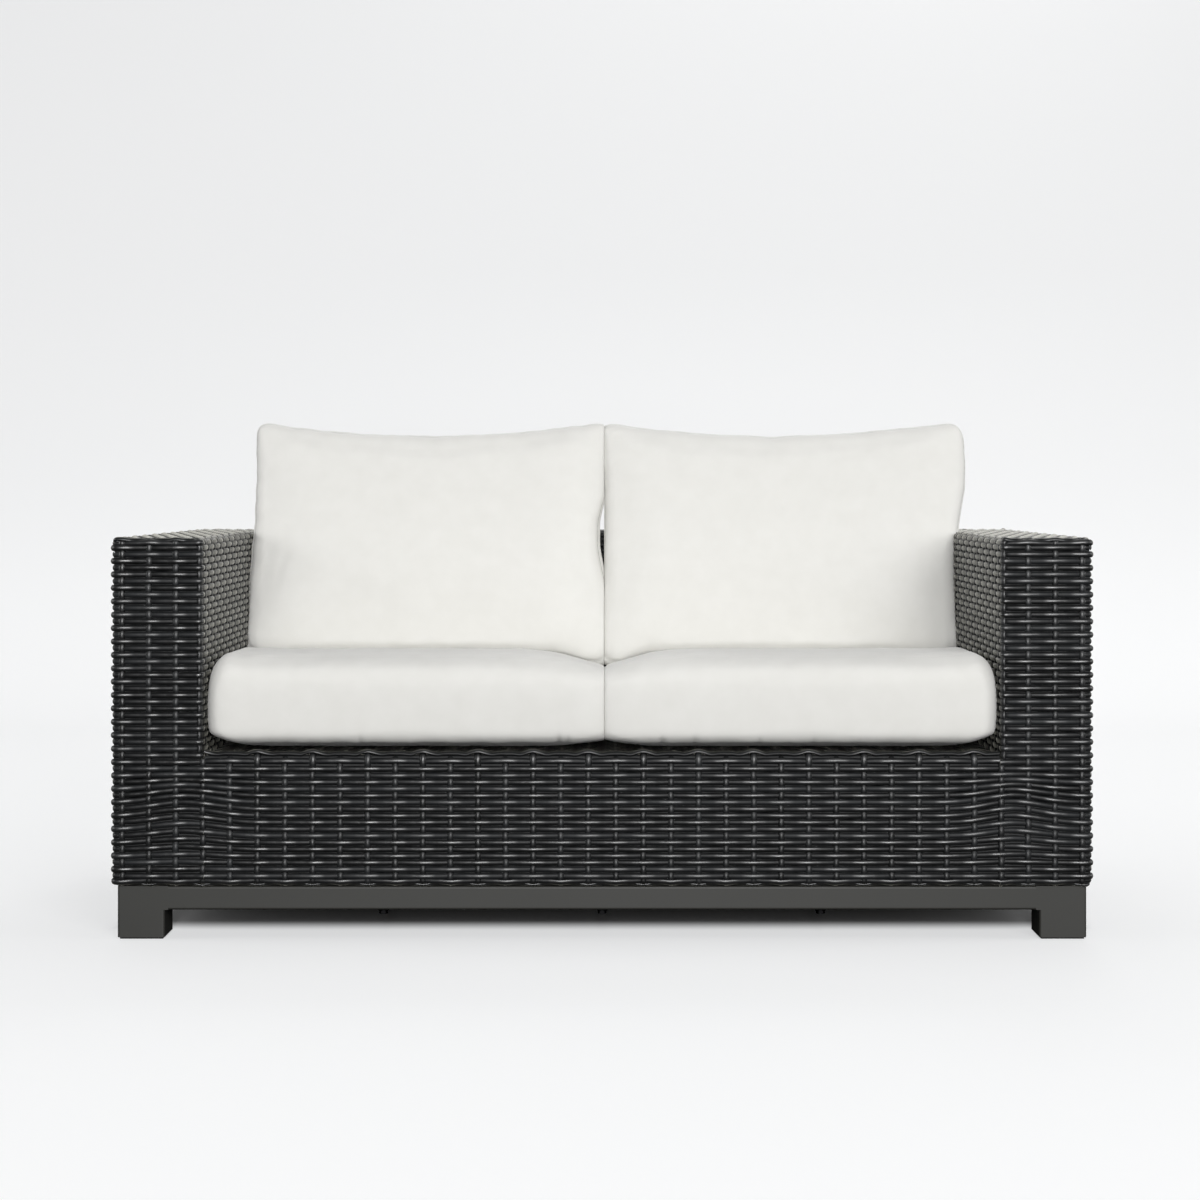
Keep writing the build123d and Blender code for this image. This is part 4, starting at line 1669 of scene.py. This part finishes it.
    def settle(self, points: np.ndarray) -> np.ndarray:
        """Lean on the back and stand on the seat cushion.

        Args:
            points: Points of the cushion, in millimetres.

        Returns:
            The points as moved.
        """
        points[:, 2] = np.maximum(points[:, 2], self.low[2] - self.drop - self.inner_drop.amount)
        points[:, 1] = np.minimum(points[:, 1], self.high[1] - self.clearance)
        return points


@dataclass
class CushionSet:
    """The four loose cushions, each with the marks that the photo shows on it."""

    finish: Material
    pleats: dict = field(default_factory=lambda: {
        -1: ((-406.0, 13.0, 3.0), (-74.0, 15.0, 5.0), (-60.0, 12.0, 4.0)),
        1: ((101.0, 12.0, 4.0), (156.0, 12.0, 3.0), (265.0, 10.0, 2.5), (357.0, 9.0, 2.5))})
    dents: dict = field(default_factory=lambda: {
        -1: (), 1: (((330.0, 150.0, 872.0), (26.0, 60.0, 22.0), 7.0),)})
    bulge: dict = field(default_factory=lambda: {-1: (9.0, 3.0, 0.0, 0.0), 1: (15.0, 15.0, 36.0, 24.0)})

    def build(self) -> None:
        """Make all four."""
        for side, word in ((-1, "left"), (1, "right")):
            SeatCushion(f"{word}_seat_cushion", side, fill=0.85, slack=0.35, seam_depth=0.9, pucker=0.9,
                        pleats=self.pleats[side], seed=2 + side).build(self.finish)
            BackCushion(f"{word}_back_cushion", side, fill=0.7, slack=1.0, pucker=1.3, dents=self.dents[side],
                        bulge=self.bulge[side], seed=12 + side).build(self.finish)


@dataclass
class GroundWelds:
    """Welds between plinth rails and feet, ground flush, so that no joint shows."""

    finish: Material
    length: float = 12.0
    proud: float = 0.06

    def build(self) -> None:
        """One collar of weld metal at each end of each rail."""
        points, faces = [], []
        for side in ("front", "rear", "left", "right"):
            low, high = (np.array(corner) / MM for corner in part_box(f"plinth_{side}_rail"))
            along = int(np.argmax(high - low))
            for end in (low[along], high[along]):
                first, last = low - self.proud, high + self.proud
                first[along], last[along] = end - self.length / 2, end + self.length / 2
                base = len(points)
                points += [(x, y, z) for x in (first[0], last[0]) for y in (first[1], last[1])
                           for z in (first[2], last[2])]
                faces += [tuple(base + k for k in face) for face in (
                    (0, 1, 3, 2), (4, 6, 7, 5), (0, 4, 5, 1), (2, 3, 7, 6), (0, 2, 6, 4), (1, 5, 7, 3))]
        mesh = bpy.data.meshes.new("plinth_ground_welds")
        mesh.from_pydata((np.array(points) * MM).tolist(), [], faces)
        recalculate(mesh)
        mesh.materials.append(self.finish)
        piece = piece_of("plinth_ground_welds", mesh)
        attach(piece, "frame")


@dataclass
class CadParts:
    """CAD nodes that show as they are, with finishes in place of their plain ones."""

    finishes: dict[str, Material]

    def dress(self) -> None:
        """Give each node the finish of the first key that its name starts with."""
        for name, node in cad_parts.items():
            finish = next((f for start, f in self.finishes.items() if name.startswith(start)), None)
            if finish:
                for slot in node.material_slots:
                    slot.material = finish
                log.info("%s: %s", name, finish.name)


@dataclass
class Studio:
    """The photo's camera, a pale sweep of floor and wall, and soft studio light. Lengths in metres."""

    lens: float = 70.32
    sensor: float = 36.0
    shift: tuple = (-0.0017, -0.0925)
    eye: tuple = (0.0, -4.351, 0.756)
    far_end: float = 60.0
    paper: str = "#bababa"
    paper_glow: str = "#f6f7f8"
    floor_in_reflections: str = "#363636"
    wall_in_reflections: str = "#d8d8d8"
    paper_lift: float = 0.57
    wall_share: float = 0.91
    wall_glow: float = 0.35
    wall_from: float = 0.9
    shade_edge: tuple = (("X", 0.76, 0.86), ("Y", 0.24, 0.34), ("Z", 0.02, 0.05))
    sky_colour: str = "#f3f5f8"
    sky: float = 0.1
    sky_in_view: float = 0.82
    lights: tuple = (
        ("key", (3.2, -8.2, 3.5), (0, 0, 0.4), 3.4, 3.4, 240.0),
        ("strip", (0.0, -8.9, 2.6), (0, 0, 0.4), 0.9, 4.6, 500.0),
        ("left", (-6.5, -0.4, 2.1), (0, 0, 0.4), 2.6, 2.6, 130.0),
        ("right", (6.5, -0.4, 2.1), (0, 0, 0.4), 2.6, 2.6, 130.0),
        ("rear", (0.8, 4.3, 3.9), (0, 0.3, 0.4), 3.0, 1.4, 55.0),
        ("top", (0.2, 0.9, 4.4), (0, 0.6, 0.0), 3.4, 3.4, 20.0))

    def build(self) -> None:
        """Set camera, floor, light and view."""
        self._camera()
        self._sweep()
        self._world()
        self._lights()
        bpy.context.scene.view_settings.view_transform = "Standard"

    def _camera(self) -> None:
        """Camera as in the photo: level, low, in front."""
        data = bpy.data.cameras.new("photo_camera")
        data.lens, data.sensor_width = self.lens, self.sensor
        data.shift_x, data.shift_y = self.shift
        data.clip_end = self.far_end
        camera = piece_of("photo_camera", data)
        camera.location = self.eye
        camera.rotation_euler = (math.pi / 2, 0.0, 0.0)
        bpy.context.scene.camera = camera

    def _sweep(self) -> None:
        """Floor that rises into a wall well behind the object."""
        half, front, back, radius, height = 14.0, -18.0, 4.6, 1.6, 6.5
        line = [(front, 0.0), (back - radius, 0.0)]
        line += [(back - radius + radius * math.sin(a), radius - radius * math.cos(a))
                 for a in np.linspace(0.05, math.pi / 2, 24)]
        line.append((back, height))
        mesh = bpy.data.meshes.new("sweep")
        mesh.from_pydata([(x, y, z) for y, z in line for x in (-half, half)], [],
                         [(2 * i, 2 * i + 1, 2 * i + 3, 2 * i + 2) for i in range(len(line) - 1)])
        smooth(mesh)
        mesh.materials.append(self._paper())
        piece_of("sweep", mesh)

    def _paper(self) -> Material:
        """Matte paper: even and bright to the camera, with a dark floor and a pale wall in reflections.

        Returns:
            The material.
        """
        sheet = Surface("matte_paper_sweep", {"Roughness": 0.9, "Specular IOR Level": 0.1,
                                              "Emission Color": linear(self.paper_glow)})
        seen = sheet.out("ShaderNodeLightPath", output="Is Camera Ray")
        mirrored_paper = sheet.mix(self._height(sheet, 0.0, 1.0), self.floor_in_reflections,
                                   self.wall_in_reflections)
        sheet.feed("Base Color", sheet.mix(seen, mirrored_paper, self.paper))
        unseen = sheet.math("SUBTRACT", 1.0, seen)
        glow = sheet.math("MULTIPLY", self._height(sheet, 0.0, self.wall_glow), unseen)
        lift = sheet.math("MULTIPLY_ADD", seen, self.paper_lift, glow)
        sheet.feed("Emission Strength", sheet.math("MULTIPLY", lift, self._under(sheet)))
        return sheet.material

    def _height(self, sheet: Surface, at_floor: float, on_wall: float) -> Socket:
        """A value that eases from the floor up the wall.

        Args:
            sheet: The paper's material.
            at_floor: Value on the floor.
            on_wall: Value on the wall.

        Returns:
            The socket that holds the result.
        """
        height = sheet.out("ShaderNodeSeparateXYZ", {"Vector": sheet.place}, "Z")
        return sheet.span(height, (0.0, self.wall_from), (at_floor, on_wall), "SMOOTHSTEP")

    def _under(self, sheet: Surface) -> Socket:
        """0 on the floor under the seat, so that its contact shadow stays dark, and 1 elsewhere.

        Args:
            sheet: The paper's material.

        Returns:
            The socket that holds the result.
        """
        spot = add(sheet.tree, "ShaderNodeSeparateXYZ", {"Vector": sheet.place}).outputs
        shares = [sheet.span(sheet.math("ABSOLUTE", spot[axis]), (dark, light), (0.0, 1.0), "SMOOTHSTEP")
                  for axis, dark, light in self.shade_edge]
        open_floor = sheet.math("MAXIMUM", sheet.math("MAXIMUM", *shares[:2]), shares[2])
        return sheet.math("MULTIPLY", open_floor, self._height(sheet, 1.0, self.wall_share))

    def _world(self) -> None:
        """A pale sky that is bright to the camera only."""
        world = bpy.data.worlds.new("studio")
        bpy.context.scene.world = world
        world.use_nodes = True
        ground = world.node_tree.nodes["Background"]
        ground.inputs["Color"].default_value = linear(self.sky_colour)
        work = NodeWork(world.node_tree)
        seen = work.out("ShaderNodeLightPath", output="Is Camera Ray")
        strength = work.span(seen, (0.0, 1.0), (self.sky, self.sky_in_view))
        work.tree.links.new(strength, ground.inputs["Strength"])

    def _lights(self) -> None:
        """Even light all round, with wide soft sources over the top and front."""
        for name, position, target, wide, tall, power in self.lights:
            data = bpy.data.lights.new(name, "AREA")
            data.shape = "RECTANGLE"
            data.energy, data.size, data.size_y = power, wide, tall
            lamp = piece_of(name, data)
            lamp.location = position
            lamp.visible_camera = False
            lamp.rotation_euler = (Vector(target) - Vector(position)).to_track_quat("-Z", "Y").to_euler()


def main() -> None:
    """Build the whole scene."""
    weaver = Weaver(WovenResin().make())
    WovenBody(weaver, HiddenFinish.LINER.make()).build()
    CushionSet(CushionCanvas().make()).build()
    coat, zinc = PlinthPowderCoat().make(), HiddenFinish.ZINC.make()
    tube, nylon = HiddenFinish.TUBE.make(), HiddenFinish.NYLON.make()
    GroundWelds(coat).build()
    CadParts({
        **dict.fromkeys(("plinth_bolts", "plinth_washers", "plinth_weld_nuts"), zinc),
        **dict.fromkeys(("plinth_", "front_left_foot", "front_right_foot", "rear_left_foot",
                         "rear_right_foot"), coat),
        "foot_glides": nylon,
        **dict.fromkeys(("left_arm_", "right_arm_", "back_", "seat_", "apron_"), tube),
    }).dress()
    Studio().build()


if __name__ == "__main__":
    main()
